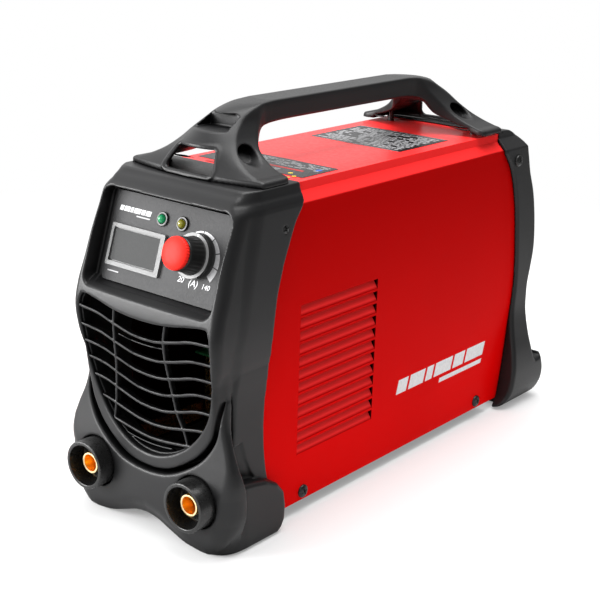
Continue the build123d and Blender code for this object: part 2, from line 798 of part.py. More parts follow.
def rear_seat():
    """Space taken by the end of the cover, with its gap."""
    seat_half_w, seat_top_half_w = cover_half_w + bezel_gap, top_half_w + bezel_gap
    seat_end = from_rims([(y + 0.6, z) for y, z in cover_rear_edge])
    with BuildPart() as seat:
        with BuildSketch(cross_section(rim_y + 340.0)):
            with BuildLine():
                Polyline(*both_sides([
                    (seat_half_w, -6.0), (seat_half_w, chamfer_low + 0.1),
                    (seat_top_half_w, chamfer_high + 0.1), (seat_top_half_w, top_z + bezel_gap),
                ]), close=True)
            make_face()
        extrude(amount=-70.0)
        with BuildSketch(Plane.YZ.offset(-70)):
            with BuildLine():
                Spline(*seat_end)
                Polyline(
                    seat_end[-1],
                    *from_rims([(374.6, -8.0), (430.0, -8.0), (430.0, 245.0)]),
                    seat_end[0],
                )
            make_face()
        extrude(amount=140, mode=Mode.SUBTRACT)
    return seat.part


def rear_bezel():
    seat = rear_seat()
    with BuildPart() as piece:
        # side view
        with BuildSketch(Plane.YZ.offset(-78)):
            with BuildLine():
                Spline(*rear_front_edge)
                Polyline(rear_front_edge[-1], *rear_foot_side, rear_outer_edge[-1])
                Spline(*reversed(rear_outer_edge))
                Polyline(
                    rear_outer_edge[0],
                    *from_rims([(366.0, 245.0), (349.8, 245.0)]),
                    rear_front_edge[0],
                )
            make_face()
        extrude(amount=156)
        # outline across the case
        with BuildSketch(cross_section(rim_y + 345.0)):
            with BuildLine():
                Polyline(
                    (0, shelf_z), (54.6, shelf_z), (55.4, 233.4), (64.0, 224.8),
                    rear_outline[0],
                )
                Spline(*rear_outline, tangents=[(0, -1), (-1, 0)])
                Line(rear_outline[-1], rear_arch[0])
                Spline(*rear_arch, tangents=[(-1, 0), (-1, 0)])
                Line(rear_arch[-1], (0, shelf_z))
            make_face()
            mirror(about=Plane.YZ)
        extrude(amount=-90, mode=Mode.INTERSECT)
        # seat for the cover end, then the open recess behind the rear panel
        add(seat, mode=Mode.SUBTRACT)
        with BuildSketch(cross_section(rim_y + 340.0)):
            with Locations((0, 120.0)):
                RectangleRounded(116.0, 206.0, 9.0)
        extrude(amount=-90, mode=Mode.SUBTRACT)
        # only the two feet reach behind the case
        with Locations((0, rim_y + 450.0, 60.0)):
            Box(116.0, 84.0, 124.0, mode=Mode.SUBTRACT)
        side_holes([rear_screw])
    return piece.part


# --------------------------------------------------------- rear panel and fan
rear_panel_t = 1.2
fan_depth = 25.0
fan_front_y = panel_y - 26.4


def rear_panel():
    with BuildPart() as piece:
        with BuildSketch(facing_rear(0, panel_y - rear_panel_t, 0)):
            with BuildLine():
                Polyline(*both_sides([
                    (59.0, 11.0), (59.0, 223.0), (52.2, 229.8), (52.2, 235.0),
                ]), close=True)
            make_face()
            with Locations((0, fan_z)):
                Circle(fan_bore_r, mode=Mode.SUBTRACT)
                with GridLocations(fan_hole_pitch, fan_hole_pitch, 2, 2):
                    Circle(2.2, mode=Mode.SUBTRACT)
            with Locations((-switch_x, switch_z)):
                Rectangle(22.6, 30.6, mode=Mode.SUBTRACT)
            with Locations((-gland_x, gland_z)):
                Circle(8.2, mode=Mode.SUBTRACT)
        extrude(amount=rear_panel_t)
    return piece.part


def fan_frame():
    with BuildPart() as piece:
        with BuildSketch(facing_rear(0, fan_front_y, fan_z)):
            RectangleRounded(fan_size, fan_size, 4)
            Circle(fan_bore_r, mode=Mode.SUBTRACT)
            with GridLocations(fan_hole_pitch, fan_hole_pitch, 2, 2):
                Circle(2.25, mode=Mode.SUBTRACT)
        extrude(amount=fan_depth)
        # motor mount on four struts
        with BuildSketch(facing_rear(0, fan_front_y, fan_z)):
            Circle(17.5)
            with PolarLocations(31.0, 4, 45):
                Rectangle(30.0, 4.0)
            Circle(1.55, mode=Mode.SUBTRACT)
        extrude(amount=3.0)
    return piece.part


def fan_rotor():
    blade_y = panel_y - 12.0
    with BuildPart() as piece:
        with Locations(facing_rear(0, blade_y, fan_z)):
            with PolarLocations(28.5, 7):
                Box(27.0, 1.6, 22.0, rotation=(40, 0, 0))
        # trim the blade tips and edges
        with Locations(facing_rear(0, blade_y, fan_z)):
            Cylinder(42.4, 16.0, mode=Mode.INTERSECT)
        # hub and axle
        with Locations(facing_rear(0, panel_y - 21.4, fan_z)):
            Cylinder(18.0, 18.0, align=ON_BASE)
        with Locations(facing_rear(0, panel_y - 26.0, fan_z)):
            Cylinder(1.5, 6.0, align=ON_BASE)
    return piece.part


def fan_guard():
    with BuildPart() as piece:
        with Locations(facing_rear(0, panel_y + 2.3, fan_z)):
            for ring_r in (12.0, 20.5, 29.0, 37.5, 45.0):
                Torus(ring_r, 0.9)
        # four spokes and the screw eyes
        with Locations(facing_rear(0, panel_y + 1.5, fan_z)):
            with PolarLocations(34.2, 4, 45):
                Box(50.0, 1.7, 1.5)
            with GridLocations(fan_hole_pitch, fan_hole_pitch, 2, 2):
                Cylinder(4.4, 1.4)
                Cylinder(2.3, 4, mode=Mode.SUBTRACT)
    return piece.part


def fan_screws():
    with BuildPart() as piece:
        with Locations(facing_rear(0, panel_y + 2.75, fan_z)):
            with GridLocations(fan_hole_pitch, fan_hole_pitch, 2, 2):
                Cylinder(3.8, 2.2, align=ON_BASE)
                Cylinder(2.0, 24.0, align=HUNG)
    return piece.part


# -------------------------------------------------------------- power switch
rocker_tilt = 11.0             # the rocker rests tilted
pivot_y = panel_y - 3.0
switch_front_y = panel_y - 20.0


def switch_housing():
    with BuildPart() as piece:
        with BuildSketch(facing_rear(switch_x, panel_y + gap, switch_z)):
            RectangleRounded(26.0, 34.0, 1.6)
        extrude(amount=2.0)
        with BuildSketch(facing_rear(switch_x, switch_front_y, switch_z)):
            Rectangle(22.0, 30.0)
        extrude(amount=20.1)
        # rocker well and pivot hole
        with BuildSketch(facing_rear(switch_x, panel_y - 11.0, switch_z)):
            Rectangle(16.0, 25.0)
        extrude(amount=20, mode=Mode.SUBTRACT)
        with Locations((switch_x, pivot_y, switch_z)):
            Cylinder(1.55, 18.0, rotation=(0, 90, 0), mode=Mode.SUBTRACT)
        # three flat terminals
        with BuildSketch(facing_rear(switch_x, switch_front_y, switch_z)):
            with GridLocations(1, 9.0, 1, 3):
                Rectangle(6.3, 0.8)
        extrude(amount=-9.0)
    return piece.part


def switch_rocker():
    half_w = 7.8
    tilt = radians(-rocker_tilt)
    section_plane = Plane(
        origin=(switch_x - half_w, pivot_y, switch_z),
        x_dir=(0, cos(tilt), sin(tilt)),
        z_dir=(1, 0, 0),
    )
    with BuildPart() as piece:
        with BuildSketch(section_plane):
            with BuildLine():
                Polyline(
                    (4.6, -11.2), (2.7, 0.0), (4.6, 11.2), (-0.8, 11.6),
                    (-5.4, 5.0), (-5.4, -5.0), (-0.8, -11.6), close=True,
                )
            make_face()
        extrude(amount=2 * half_w)
        with Locations((switch_x, pivot_y, switch_z)):
            Cylinder(1.5, 17.6, rotation=(0, 90, 0))
    return piece.part


# -------------------------------------------------- cable gland, cord and plug
def gland_body():
    barrel_r = 10.2
    with BuildPart() as piece:
        with BuildSketch(facing_rear(gland_x, panel_y + gap, gland_z)):
            RegularPolygon(12.4, 6)
        extrude(amount=5.0)
        with Locations(facing_rear(gland_x, panel_y + 5.0, gland_z)):
            Cylinder(barrel_r, 7.5, align=ON_BASE)
        with Locations(facing_rear(gland_x, panel_y + 12.5, gland_z)):
            Cone(barrel_r, 6.6, 4.5, align=ON_BASE)
        with Locations(facing_rear(gland_x, panel_y - 11.0, gland_z)):
            Cylinder(8.0, 11.2, align=ON_BASE)
        with Locations(facing_rear(gland_x, panel_y, gland_z)):
            Cylinder(4.15, 60.0, mode=Mode.SUBTRACT)
    return piece.part


def gland_nut():
    with BuildPart() as piece:
        with BuildSketch(facing_rear(gland_x, panel_y - 5.4, gland_z)):
            RegularPolygon(11.8, 6)
            Circle(8.1, mode=Mode.SUBTRACT)
        extrude(amount=4.0)
    return piece.part


# the cord is coiled in a hank of three layers, front to rear
cord_r, loop_r = 4.0, 18.0
drop_r = 20.0                  # bend from the gland down into the hank
left_x = gland_x
right_x = left_x + 2 * loop_r
loop_x = (left_x + right_x) / 2
low_z, high_z = 22.2, 62.0     # ends of the straight runs
layer_y = [rim_y + 414.4 + 8.6 * i for i in range(3)]

plug_x, plug_y = -37.0, layer_y[2]
pin_pitch = 19.0
plug_profile = [               # (radius, z)
    (4.3, 21.0), (16.4, 21.0), (18.4, 23.0), (18.4, 42.0),
    (12.0, 49.0), (8.4, 55.0), (6.6, 61.5), (4.3, 61.5),
]


def mains_cord():
    start_y, bend_y = rim_y + 338.0, layer_y[0] - drop_r
    last_y = layer_y[-1]
    with BuildPart() as piece:
        with BuildLine() as path:
            Line((gland_x, start_y, gland_z), (gland_x, bend_y, gland_z))
            ThreePointArc(
                (gland_x, bend_y, gland_z),
                (
                    gland_x,
                    bend_y + drop_r * sin(pi / 4),
                    gland_z - drop_r + drop_r * cos(pi / 4),
                ),
                (gland_x, layer_y[0], gland_z - drop_r),
            )
            Line((gland_x, layer_y[0], gland_z - drop_r), (left_x, layer_y[0], low_z))
            for y, next_y in zip(layer_y, layer_y[1:]):
                ThreePointArc((left_x, y, low_z), (loop_x, y, low_z - loop_r), (right_x, y, low_z))
                Spline(
                    (right_x, y, low_z), (right_x, next_y, high_z),
                    tangents=[(0, 0, 1), (0, 0, 1)],
                )
                ThreePointArc(
                    (right_x, next_y, high_z),
                    (loop_x, next_y, high_z + loop_r),
                    (left_x, next_y, high_z),
                )
                Line((left_x, next_y, high_z), (left_x, next_y, low_z))
            # last layer: up the right run and over to the plug
            ThreePointArc(
                (left_x, last_y, low_z), (loop_x, last_y, low_z - loop_r), (right_x, last_y, low_z)
            )
            Line((right_x, last_y, low_z), (right_x, last_y, high_z))
            over_r = (right_x - plug_x) / 2
            ThreePointArc(
                (right_x, last_y, high_z),
                (right_x - over_r, last_y, high_z + over_r),
                (plug_x, last_y, high_z),
            )
            Line((plug_x, last_y, high_z), (plug_x, last_y, 50.0))
        with BuildSketch(
            Plane(origin=(gland_x, start_y, gland_z), x_dir=(1, 0, 0), z_dir=(0, 1, 0))
        ):
            Circle(cord_r)
        sweep(path=path.line)
    return piece.part


def cord_tie():
    hank_w = right_x - left_x + 2 * cord_r
    hank_d = layer_y[2] - layer_y[0] + 2 * cord_r
    with BuildPart() as piece:
        with BuildSketch(Plane.XY.offset(51.5)):
            with Locations((loop_x, (layer_y[0] + layer_y[2]) / 2)):
                RectangleRounded(hank_w + 3.2, hank_d + 3.2, 5.2)
                RectangleRounded(hank_w + 0.8, hank_d + 0.8, 4.0, mode=Mode.SUBTRACT)
        extrude(amount=7.0)
    return piece.part


def mains_plug():
    with BuildPart() as piece:
        with BuildSketch(Plane(origin=(plug_x, plug_y, 0), x_dir=(1, 0, 0), z_dir=(0, -1, 0))):
            with BuildLine():
                Polyline(*plug_profile, close=True)
            make_face()
        revolve(axis=Axis((plug_x, plug_y, 0), (0, 0, 1)))
        # core below the cord, and the pin holes
        with Locations((plug_x, plug_y, 21.0)):
            Cylinder(4.4, 28.0, align=ON_BASE)
            with GridLocations(pin_pitch, 1, 2, 1):
                Cylinder(2.45, 9.0, align=ON_BASE, mode=Mode.SUBTRACT)
    return piece.part


def plug_pins():
    with BuildPart() as piece:
        with Locations((plug_x, plug_y, 1.6)):
            with GridLocations(pin_pitch, 1, 2, 1):
                Cylinder(2.4, 28.0, align=ON_BASE)
    return piece.part


# ------------------------------------------------------ case screws and labels
def case_screws():
    """Cross-head screws, on both sides of the case."""
    head_r = 4.8
    places = [                 # ((y, z), x of the surface under the head)
        (low_screws[0], cover_half_w), (low_screws[1], cover_half_w),
        (front_screw, bezel_half_w), (rear_screw, 64.0),
    ]
    with BuildPart() as piece:
        for (y, z), seat_x in places:
            for side in SIDES:
                under_head, head_top = [
                    Plane(origin=(side * x, y, z), x_dir=(0, side, 0), z_dir=(side, 0, 0))
                    for x in (seat_x + 0.04, seat_x + 1.62)
                ]
                with Locations(under_head):
                    Cylinder(head_r, 1.6, align=ON_BASE)
                    Cylinder(2.5, 7.4, align=HUNG)
                with Locations(head_top):
                    Cone(head_r, 3.2, 1.2, align=ON_BASE)
                    Box(4.6, 1.1, 3.4, mode=Mode.SUBTRACT)
                    Box(1.1, 4.6, 3.4, mode=Mode.SUBTRACT)
    return piece.part


def top_labels():
    labels = ((232.0, 297.0, 42.0), (112.5, 152.0, 48.0))  # front y, rear y, half width
    with BuildPart() as piece:
        for front, rear, half_w in labels:
            with BuildSketch(Plane.XY.offset(top_z + 0.03)):
                with Locations((0, rim_y + (front + rear) / 2)):
                    RectangleRounded(2 * half_w, rear - front, 1.2)
            extrude(amount=0.25)
    return piece.part


# ---------------------------------------------------------------- power board
sink_y = rim_y + 205.0
parts_row_y = rim_y + 184.0    # relay, bridge and filter choke
package_y = [rim_y + 222.0 + 27.0 * i for i in range(4)]


def board_posts():
    with BuildPart() as piece:
        for place in post_xy:
            with BuildSketch(Plane.XY.offset(floor_z)):
                with Locations(place):
                    RegularPolygon(4.2, 6)
            extrude(amount=board_z - gap - floor_z)
        with Locations(*[(x, y, board_z - 9.0) for x, y in post_xy]):
            Cylinder(1.6, 12.0, align=ON_BASE, mode=Mode.SUBTRACT)
    return piece.part


def power_board():
    with BuildPart() as piece:
        with BuildSketch(Plane.XY.offset(board_z)):
            with Locations((0, rim_y + 222.0)):
                Rectangle(108.4, 208.0)
            with Locations(*post_xy):
                Circle(1.7, mode=Mode.SUBTRACT)
        extrude(amount=board_t)
    return piece.part


def board_screws():
    with BuildPart() as piece:
        with Locations(*[(x, y, board_top) for x, y in post_xy]):
            Cylinder(3.0, 2.2, align=ON_BASE)
            Cylinder(1.5, 8.0, align=HUNG)
    return piece.part


def heatsink(side):
    """Upright plate with nine fins pointing outwards."""
    with BuildPart() as sink:
        with BuildSketch(cross_section(sink_y)):
            with Locations((side * 12.5, 120.0)):
                Rectangle(5.0, 62.0)
            with Locations((side * 31.0, 120.5)):
                with GridLocations(1, 7.0, 1, 9):
                    Rectangle(38.0, 2.0)
        extrude(amount=-115.0)
    return sink.part


def inverter_heatsink():
    return heatsink(-1)


def rectifier_heatsink():
    return heatsink(1)


def package_row(side):
    """Four flat packages with three legs each, on the inner face of a heatsink."""
    x = side * 7.4
    with BuildPart() as row:
        with Locations(*[(x, y, 112.0) for y in package_y]):
            Box(5.0, 15.8, 20.8)
        with Locations(*[(x, y + 5.4 * leg, 94.7) for y in package_y for leg in (-1, 0, 1)]):
            Box(0.7, 1.2, 14.0)
    return row.part


def power_transistors():
    return package_row(-1)


def output_diodes():
    return package_row(1)


def bulk_capacitors():
    with BuildPart() as piece:
        for x in (-36.0, 0.0, 36.0):
            with Locations((x, rim_y + 150.0, board_top)):
                Cylinder(15.0, 45.0, align=ON_BASE)
        fillet(piece.edges().filter_by(GeomType.CIRCLE).group_by(Axis.Z)[-1], 1.5)
    return piece.part


def soft_start_relay():
    with BuildPart() as piece:
        with Locations((-32.0, parts_row_y, board_top)):
            Box(29.0, 16.0, 20.0, align=ON_BASE)
    return piece.part


def bridge_rectifier():
    height = 9.0
    with BuildPart() as piece:
        with Locations((0.0, parts_row_y, board_top)):
            Box(25.0, 25.0, height, align=ON_BASE)
            Cylinder(2.4, height, align=ON_BASE, mode=Mode.SUBTRACT)
    return piece.part


def filter_choke():
    choke_x = 32.0
    with BuildPart() as piece:
        with Locations((choke_x, parts_row_y, board_top + 8.0)):
            Torus(9.0, 5.6)
            Cylinder(3.0, 10.0)
        with Locations((choke_x, parts_row_y, board_top)):
            Cylinder(12.0, 4.0, align=ON_BASE)
    return piece.part


# ------------------------------------------- transformer and choke on the floor
transformer_x, transformer_y = -10.0, rim_y + 210.0
choke_x, choke_y, choke_z = 34.0, rim_y + 140.0, 38.0
choke_r, choke_wire_r = 17.0, 8.0


def transformer_core():
    height = 56.0
    with BuildPart() as piece:
        with Locations((transformer_x, transformer_y, floor_z)):
            Box(65.0, 28.0, height, align=ON_BASE)
        # two windows for the winding
        with Locations((transformer_x, transformer_y, floor_z + height / 2)):
            with GridLocations(36.0, 1, 2, 1):
                Box(16.0, 30.0, 40.0, mode=Mode.SUBTRACT)
    return piece.part


def transformer_winding():
    with BuildPart() as piece:
        with BuildSketch(Plane.XY.offset(19.0)):
            with Locations((transformer_x, transformer_y)):
                RectangleRounded(50.0, 56.0, 9.0)
                Rectangle(20.6, 28.6, mode=Mode.SUBTRACT)
        extrude(amount=38.0)
    return piece.part


def output_choke():
    with BuildPart() as piece:
        with Locations((choke_x, choke_y, choke_z)):
            Torus(choke_r, choke_wire_r, rotation=(0, 90, 0))
    return piece.part


def choke_base():
    with BuildPart() as piece:
        with Locations((choke_x, choke_y, floor_z)):
            Box(22.0, 44.0, 4.0, align=ON_BASE)
        # cradle for the choke
        with Locations((choke_x, choke_y, choke_z)):
            Cylinder(
                choke_r + choke_wire_r + 0.2, 26.0, rotation=(0, 90, 0), mode=Mode.SUBTRACT
            )
    return piece.part


# -------------------------------------------- board behind the control panel
control_rear_w, control_t = -20.0, 1.6
control_front_w = control_rear_w + control_t


def control_board():
    with BuildPart() as piece:
        with BuildSketch(panel_at(0, 27.0, control_rear_w)):
            Rectangle(104.0, 52.0)
        extrude(amount=control_t)
        # components
        with BuildSketch(panel_at(0, 27.0, control_front_w)):
            with Locations((30.0, -20.0), (6.0, -20.0)):
                Rectangle(14.0, 8.0)
            with GridLocations(16.0, 1, 2, 1):
                Rectangle(7.0, 3.0)
        extrude(amount=2.4)
    return piece.part


def control_posts():
    with BuildPart() as piece:
        for u in (-48.0, 48.0):
            for v in (5.0, 49.0):
                with BuildSketch(panel_at(u, v, control_front_w + gap)):
                    RegularPolygon(3.2, 6)
                extrude(amount=16.1)
    return piece.part


# --------------------------------------------------------------------- export
pieces = (
    cover_shell, base_pan, front_bezel, front_grille,
    control_panel, meter_frame, meter_lens, meter_board, led_holders, power_led, fault_led,
    potentiometer, pot_nut, pot_shaft, knob_body, knob_cap,
    socket_sleeves, socket_inserts, socket_nuts, output_busbars,
    handle, handle_screws, rear_bezel, rear_panel,
    fan_frame, fan_rotor, fan_guard, fan_screws, switch_housing, switch_rocker,
    gland_body, gland_nut, mains_cord, cord_tie, mains_plug, plug_pins,
    case_screws, top_labels,
    board_posts, power_board, board_screws, inverter_heatsink, rectifier_heatsink,
    power_transistors, output_diodes, bulk_capacitors, soft_start_relay,
    bridge_rectifier, filter_choke,
    transformer_core, transformer_winding, output_choke, choke_base,
    control_board, control_posts,
)

# each file is named after the function that builds the piece
for build in pieces:
    part = build()
    part.label = build.__name__
    export_step(part, f"parts/{part.label}.step")
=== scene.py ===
"""A portable welding power source: a red louvred cover between black plastic bezels.

It stands on z = 0, with x across it, its front towards -y and +x on the right
as seen from the front. The shapes are given in millimetres in a frame whose y
starts at the socket rims and grows to the rear; RIM_Y moves them to the
object's own frame.
"""
import json
import math

import bmesh
import bpy
import numpy as np
from mathutils import Matrix, Vector


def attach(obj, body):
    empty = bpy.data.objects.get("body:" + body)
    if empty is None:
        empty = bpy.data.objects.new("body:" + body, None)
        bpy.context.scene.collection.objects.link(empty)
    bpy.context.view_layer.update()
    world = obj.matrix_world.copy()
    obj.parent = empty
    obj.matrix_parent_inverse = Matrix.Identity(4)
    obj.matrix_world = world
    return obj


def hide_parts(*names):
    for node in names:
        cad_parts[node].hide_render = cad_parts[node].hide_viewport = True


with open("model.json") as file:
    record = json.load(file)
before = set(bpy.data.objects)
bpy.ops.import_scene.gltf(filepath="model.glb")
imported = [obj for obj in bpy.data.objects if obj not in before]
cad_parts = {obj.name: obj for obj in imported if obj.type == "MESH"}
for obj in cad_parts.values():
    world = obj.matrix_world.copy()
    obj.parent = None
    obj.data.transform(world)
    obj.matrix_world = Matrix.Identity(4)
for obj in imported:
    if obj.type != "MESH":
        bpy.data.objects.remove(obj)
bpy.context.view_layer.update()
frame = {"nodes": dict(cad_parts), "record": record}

scene = bpy.context.scene

MM = 0.001
RIM_Y = -225.0
MAX_TRIANGLES = 190000
SIDES = (-1, 1)

# Grid steps of the four moulded pieces
BEZEL_STEP = 0.85
GRILLE_STEP = 0.7
HANDLE_STEP = 0.75

COVER_HALF = 61.0  # inner half width of the bezels, where they lap the cover
ROOF_Z = 237.2  # inside of the bezels' top
BEZEL_TOP = 239.5
SHOULDER_Z = 225.0  # above this the front bezel's flanks turn inward

# The front panel leans back: its origin, and the direction up along it
PANEL_Y, PANEL_Z = 25.9, 168.6
UP_Y, UP_Z = 0.3007, 0.9537

# Centres given along the panel, across and up from its origin
KNOB_U, KNOB_V = 27.3, 27.4
LAMP_V = 45.2

SOCKET_X, SOCKET_Z = 47.3, 36.5

# Flank screws of the two bezels, (y, z)
FRONT_SCREW = (76.2, 212.0)
REAR_SCREW = (368.6, 214.4)
SCREW_HOLE = 2.6


# ------------------------------------------------------------------ fields
# A field is a distance that is negative inside the solid.
def meet(a, b, r):
    """Intersection with a round edge of radius r."""
    return np.minimum(-r, np.maximum(a, b)) + np.hypot(np.maximum(a + r, 0), np.maximum(b + r, 0))


def meet_oval(a, b, ra, rb):
    """Intersection with an elliptic edge, ra deep along a and rb along b."""
    u = np.maximum(a / ra + 1, 0)
    v = np.maximum(b / rb + 1, 0)
    length = np.hypot(u, v)
    slope = np.hypot(u / ra, v / rb) / np.maximum(length, 1e-6)
    rounded = (length - 1) / np.maximum(slope, 1e-6)
    return np.where((u > 0) & (v > 0), rounded, np.maximum(a, b))


def merge(a, b, r):
    """Union with a round inside corner of radius r."""
    return -meet(-a, -b, r)


def cut(a, b, r):
    """a without b, the new edge rounded."""
    return meet(a, -b, r)


def hole(a, b):
    """a without b, the new edge sharp."""
    return np.maximum(a, -b)


def curve(points, n=8):
    """Catmull-Rom line through the points, n steps to a span."""
    p = np.array(points, float)
    q = np.vstack([2 * p[0] - p[1], p, 2 * p[-1] - p[-2]])
    out = []
    for i in range(1, len(q) - 2):
        d1 = max(np.linalg.norm(q[i] - q[i - 1]), 1e-6)
        d2 = max(np.linalg.norm(q[i + 1] - q[i]), 1e-6)
        d3 = max(np.linalg.norm(q[i + 2] - q[i + 1]), 1e-6)
        m1 = ((q[i] - q[i - 1]) / d1 + (q[i + 1] - q[i]) / d2) / 2 * d2
        m2 = ((q[i + 1] - q[i]) / d2 + (q[i + 2] - q[i + 1]) / d3) / 2 * d2
        t = np.linspace(0, 1, n, endpoint=False)[:, None]
        h = 2 * t**3 - 3 * t**2 + 1, t**3 - 2 * t**2 + t, -2 * t**3 + 3 * t**2, t**3 - t**2
        out.append(h[0] * q[i] + h[1] * m1 + h[2] * q[i + 1] + h[3] * m2)
    out.append(p[-1:])
    return np.vstack(out)


def linear(pairs):
    """A function straight between (place, value) pairs, held flat outside."""
    places, values = zip(*pairs)
    return lambda v: np.interp(v, places, values)


def smooth(pairs):
    """A smooth function through (place, value) pairs, held flat outside."""
    return linear(curve(pairs, 16))


def steepness(function, v):
    """Length of the function's line per unit of v, which turns offsets into distances."""
    return np.hypot(1, function(v + 0.5) - function(v - 0.5))


def polygon(px, pz, points):
    """Signed distance to a closed polygon."""
    px, pz = np.broadcast_arrays(px, pz)
    nearest = np.full(px.shape, 1e9)
    inside = np.zeros(px.shape, bool)
    starts = np.asarray(points, float)
    for (ax, az), (bx, bz) in zip(starts, np.roll(starts, -1, axis=0)):
        ex, ez = bx - ax, bz - az
        length2 = ex * ex + ez * ez
        if length2 < 1e-12:
            continue
        wx, wz = px - ax, pz - az
        t = np.clip((wx * ex + wz * ez) / length2, 0, 1)
        dx, dz = wx - t * ex, wz - t * ez
        nearest = np.minimum(nearest, dx * dx + dz * dz)
        if az != bz:
            crosses = ((az <= pz) & (bz > pz)) | ((bz <= pz) & (az > pz))
            inside ^= crosses & (px < ax + (pz - az) / (bz - az) * ex)
    return np.where(inside, -1, 1) * np.sqrt(nearest)


def round_rect(x, z, half_x, half_z, r):
    """Signed distance to a rectangle with round corners."""
    qx = np.abs(x) - half_x + r
    qz = np.abs(z) - half_z + r
    corner = np.hypot(np.maximum(qx, 0), np.maximum(qz, 0))
    return np.minimum(np.maximum(qx, qz), 0) + corner - r


# ------------------------------------------------------------------ meshes
def surface_nets(field, corner, step):
    """Vertices and quads of the closed mesh on the zero level of a field grid."""
    inside = field < 0
    nx, ny, nz = np.array(field.shape) - 1
    corners = [(a, b, c) for a in (0, 1) for b in (0, 1) for c in (0, 1)]
    count = np.zeros((nx, ny, nz), np.int8)
    for a, b, c in corners:
        count += inside[a:nx + a, b:ny + b, c:nz + c]
    i, j, k = np.nonzero((count > 0) & (count < 8))
    index = np.full(count.shape, -1, np.int32)
    index[i, j, k] = np.arange(len(i))

    # Each vertex is the mean of the crossings on its cell's edges
    total = np.zeros((len(i), 3))
    hits = np.zeros(len(i))
    for u in corners:
        for v in corners:
            if sum(v) - sum(u) == 1 and all(b >= a for a, b in zip(u, v)):
                start = field[i + u[0], j + u[1], k + u[2]]
                end = field[i + v[0], j + v[1], k + v[2]]
                crossed = (start < 0) != (end < 0)
                t = start[crossed] / (start[crossed] - end[crossed])
                total[crossed] += np.array(u) + t[:, None] * (np.array(v) - np.array(u))
                hits[crossed] += 1
    verts = np.array(corner) + step * (np.stack([i, j, k], 1) + total / hits[:, None])

    # One quad round each grid edge that crosses the surface
    quads = []
    for axis in range(3):
        near, far = [slice(1, -1)] * 3, [slice(1, -1)] * 3
        near[axis], far[axis] = slice(0, -1), slice(1, None)
        a, b = inside[tuple(near)], inside[tuple(far)]
        offset = np.ones(3, int)
        offset[axis] = 0
        e1, e2 = np.zeros(3, int), np.zeros(3, int)
        e1[(axis + 1) % 3] = 1
        e2[(axis + 2) % 3] = 1
        for flip, crossed in ((False, a & ~b), (True, ~a & b)):
            p = np.stack(np.nonzero(crossed), 1) + offset
            cells = [p - e1 - e2, p - e2, p, p - e1]
            quad = np.stack([index[c[:, 0], c[:, 1], c[:, 2]] for c in cells], 1)
            quads.append(quad[:, ::-1] if flip else quad)
    return verts, np.vstack(quads)


def shade_smooth(mesh):
    mesh.polygons.foreach_set("use_smooth", np.ones(len(mesh.polygons), bool))


def link_mesh(name, mesh):
    ob = bpy.data.objects.new(name, mesh)
    scene.collection.objects.link(ob)
    return ob


def quad_object(name, verts, quads):
    """A smooth object from arrays of millimetre vertices and quads."""
    verts, quads = np.asarray(verts, float), np.asarray(quads)
    mesh = bpy.data.meshes.new(name)
    mesh.vertices.add(len(verts))
    mesh.vertices.foreach_set("co", (verts * MM).astype(np.float32).ravel())
    mesh.loops.add(quads.size)
    mesh.loops.foreach_set("vertex_index", quads.astype(np.int32).ravel())
    mesh.polygons.add(len(quads))
    mesh.polygons.foreach_set("loop_start", np.arange(0, quads.size, 4, dtype=np.int32))
    mesh.polygons.foreach_set("loop_total", np.full(len(quads), 4, np.int32))
    mesh.update(calc_edges=True)
    mesh.validate()
    shade_smooth(mesh)
    return link_mesh(name, mesh)


def turn_outward(mesh, weld=False):
    """Makes the normals point outward, after welding coincident vertices if asked."""
    bm = bmesh.new()
    bm.from_mesh(mesh)
    if weld:
        bmesh.ops.remove_doubles(bm, verts=bm.verts, dist=1e-7)
    bmesh.ops.recalc_face_normals(bm, faces=bm.faces)
    bm.to_mesh(mesh)
    bm.free()


def face_object(name, verts, faces):
    """An object from millimetre vertices and faces of any size."""
    mesh = bpy.data.meshes.new(name)
    mesh.from_pydata((np.array(verts) * MM).tolist(), [], faces)
    mesh.validate()
    turn_outward(mesh)
    return link_mesh(name, mesh)


def drop_crumbs(mesh):
    """Drops loose islands smaller than a hundredth of the mesh."""
    n = len(mesh.vertices)
    edges = np.zeros(len(mesh.edges) * 2, np.int32)
    mesh.edges.foreach_get("vertices", edges)
    edges = edges.reshape(-1, 2)
    label = np.arange(n)
    while True:
        lowest = np.minimum(label[edges[:, 0]], label[edges[:, 1]])
        new = label.copy()
        np.minimum.at(new, edges[:, 0], lowest)
        np.minimum.at(new, edges[:, 1], lowest)
        new = new[new]
        if (new == label).all():
            break
        label = new
    labels, count = np.unique(label, return_counts=True)
    small = labels[count < n * 0.01]
    if len(small):
        bm = bmesh.new()
        bm.from_mesh(mesh)
        bm.verts.ensure_lookup_table()
        crumbs = [bm.verts[i] for i in np.nonzero(np.isin(label, small))[0]]
        bmesh.ops.delete(bm, geom=crumbs, context="VERTS")
        bm.to_mesh(mesh)
        bm.free()


def limit_triangles(ob):
    triangles = sum(len(p.vertices) - 2 for p in ob.data.polygons)
    if triangles > MAX_TRIANGLES:
        ob.modifiers.new("light", "DECIMATE").ratio = MAX_TRIANGLES / triangles
        depsgraph = bpy.context.evaluated_depsgraph_get()
        mesh = bpy.data.meshes.new_from_object(ob.evaluated_get(depsgraph))
        ob.modifiers.clear()
        ob.data = mesh
        shade_smooth(mesh)


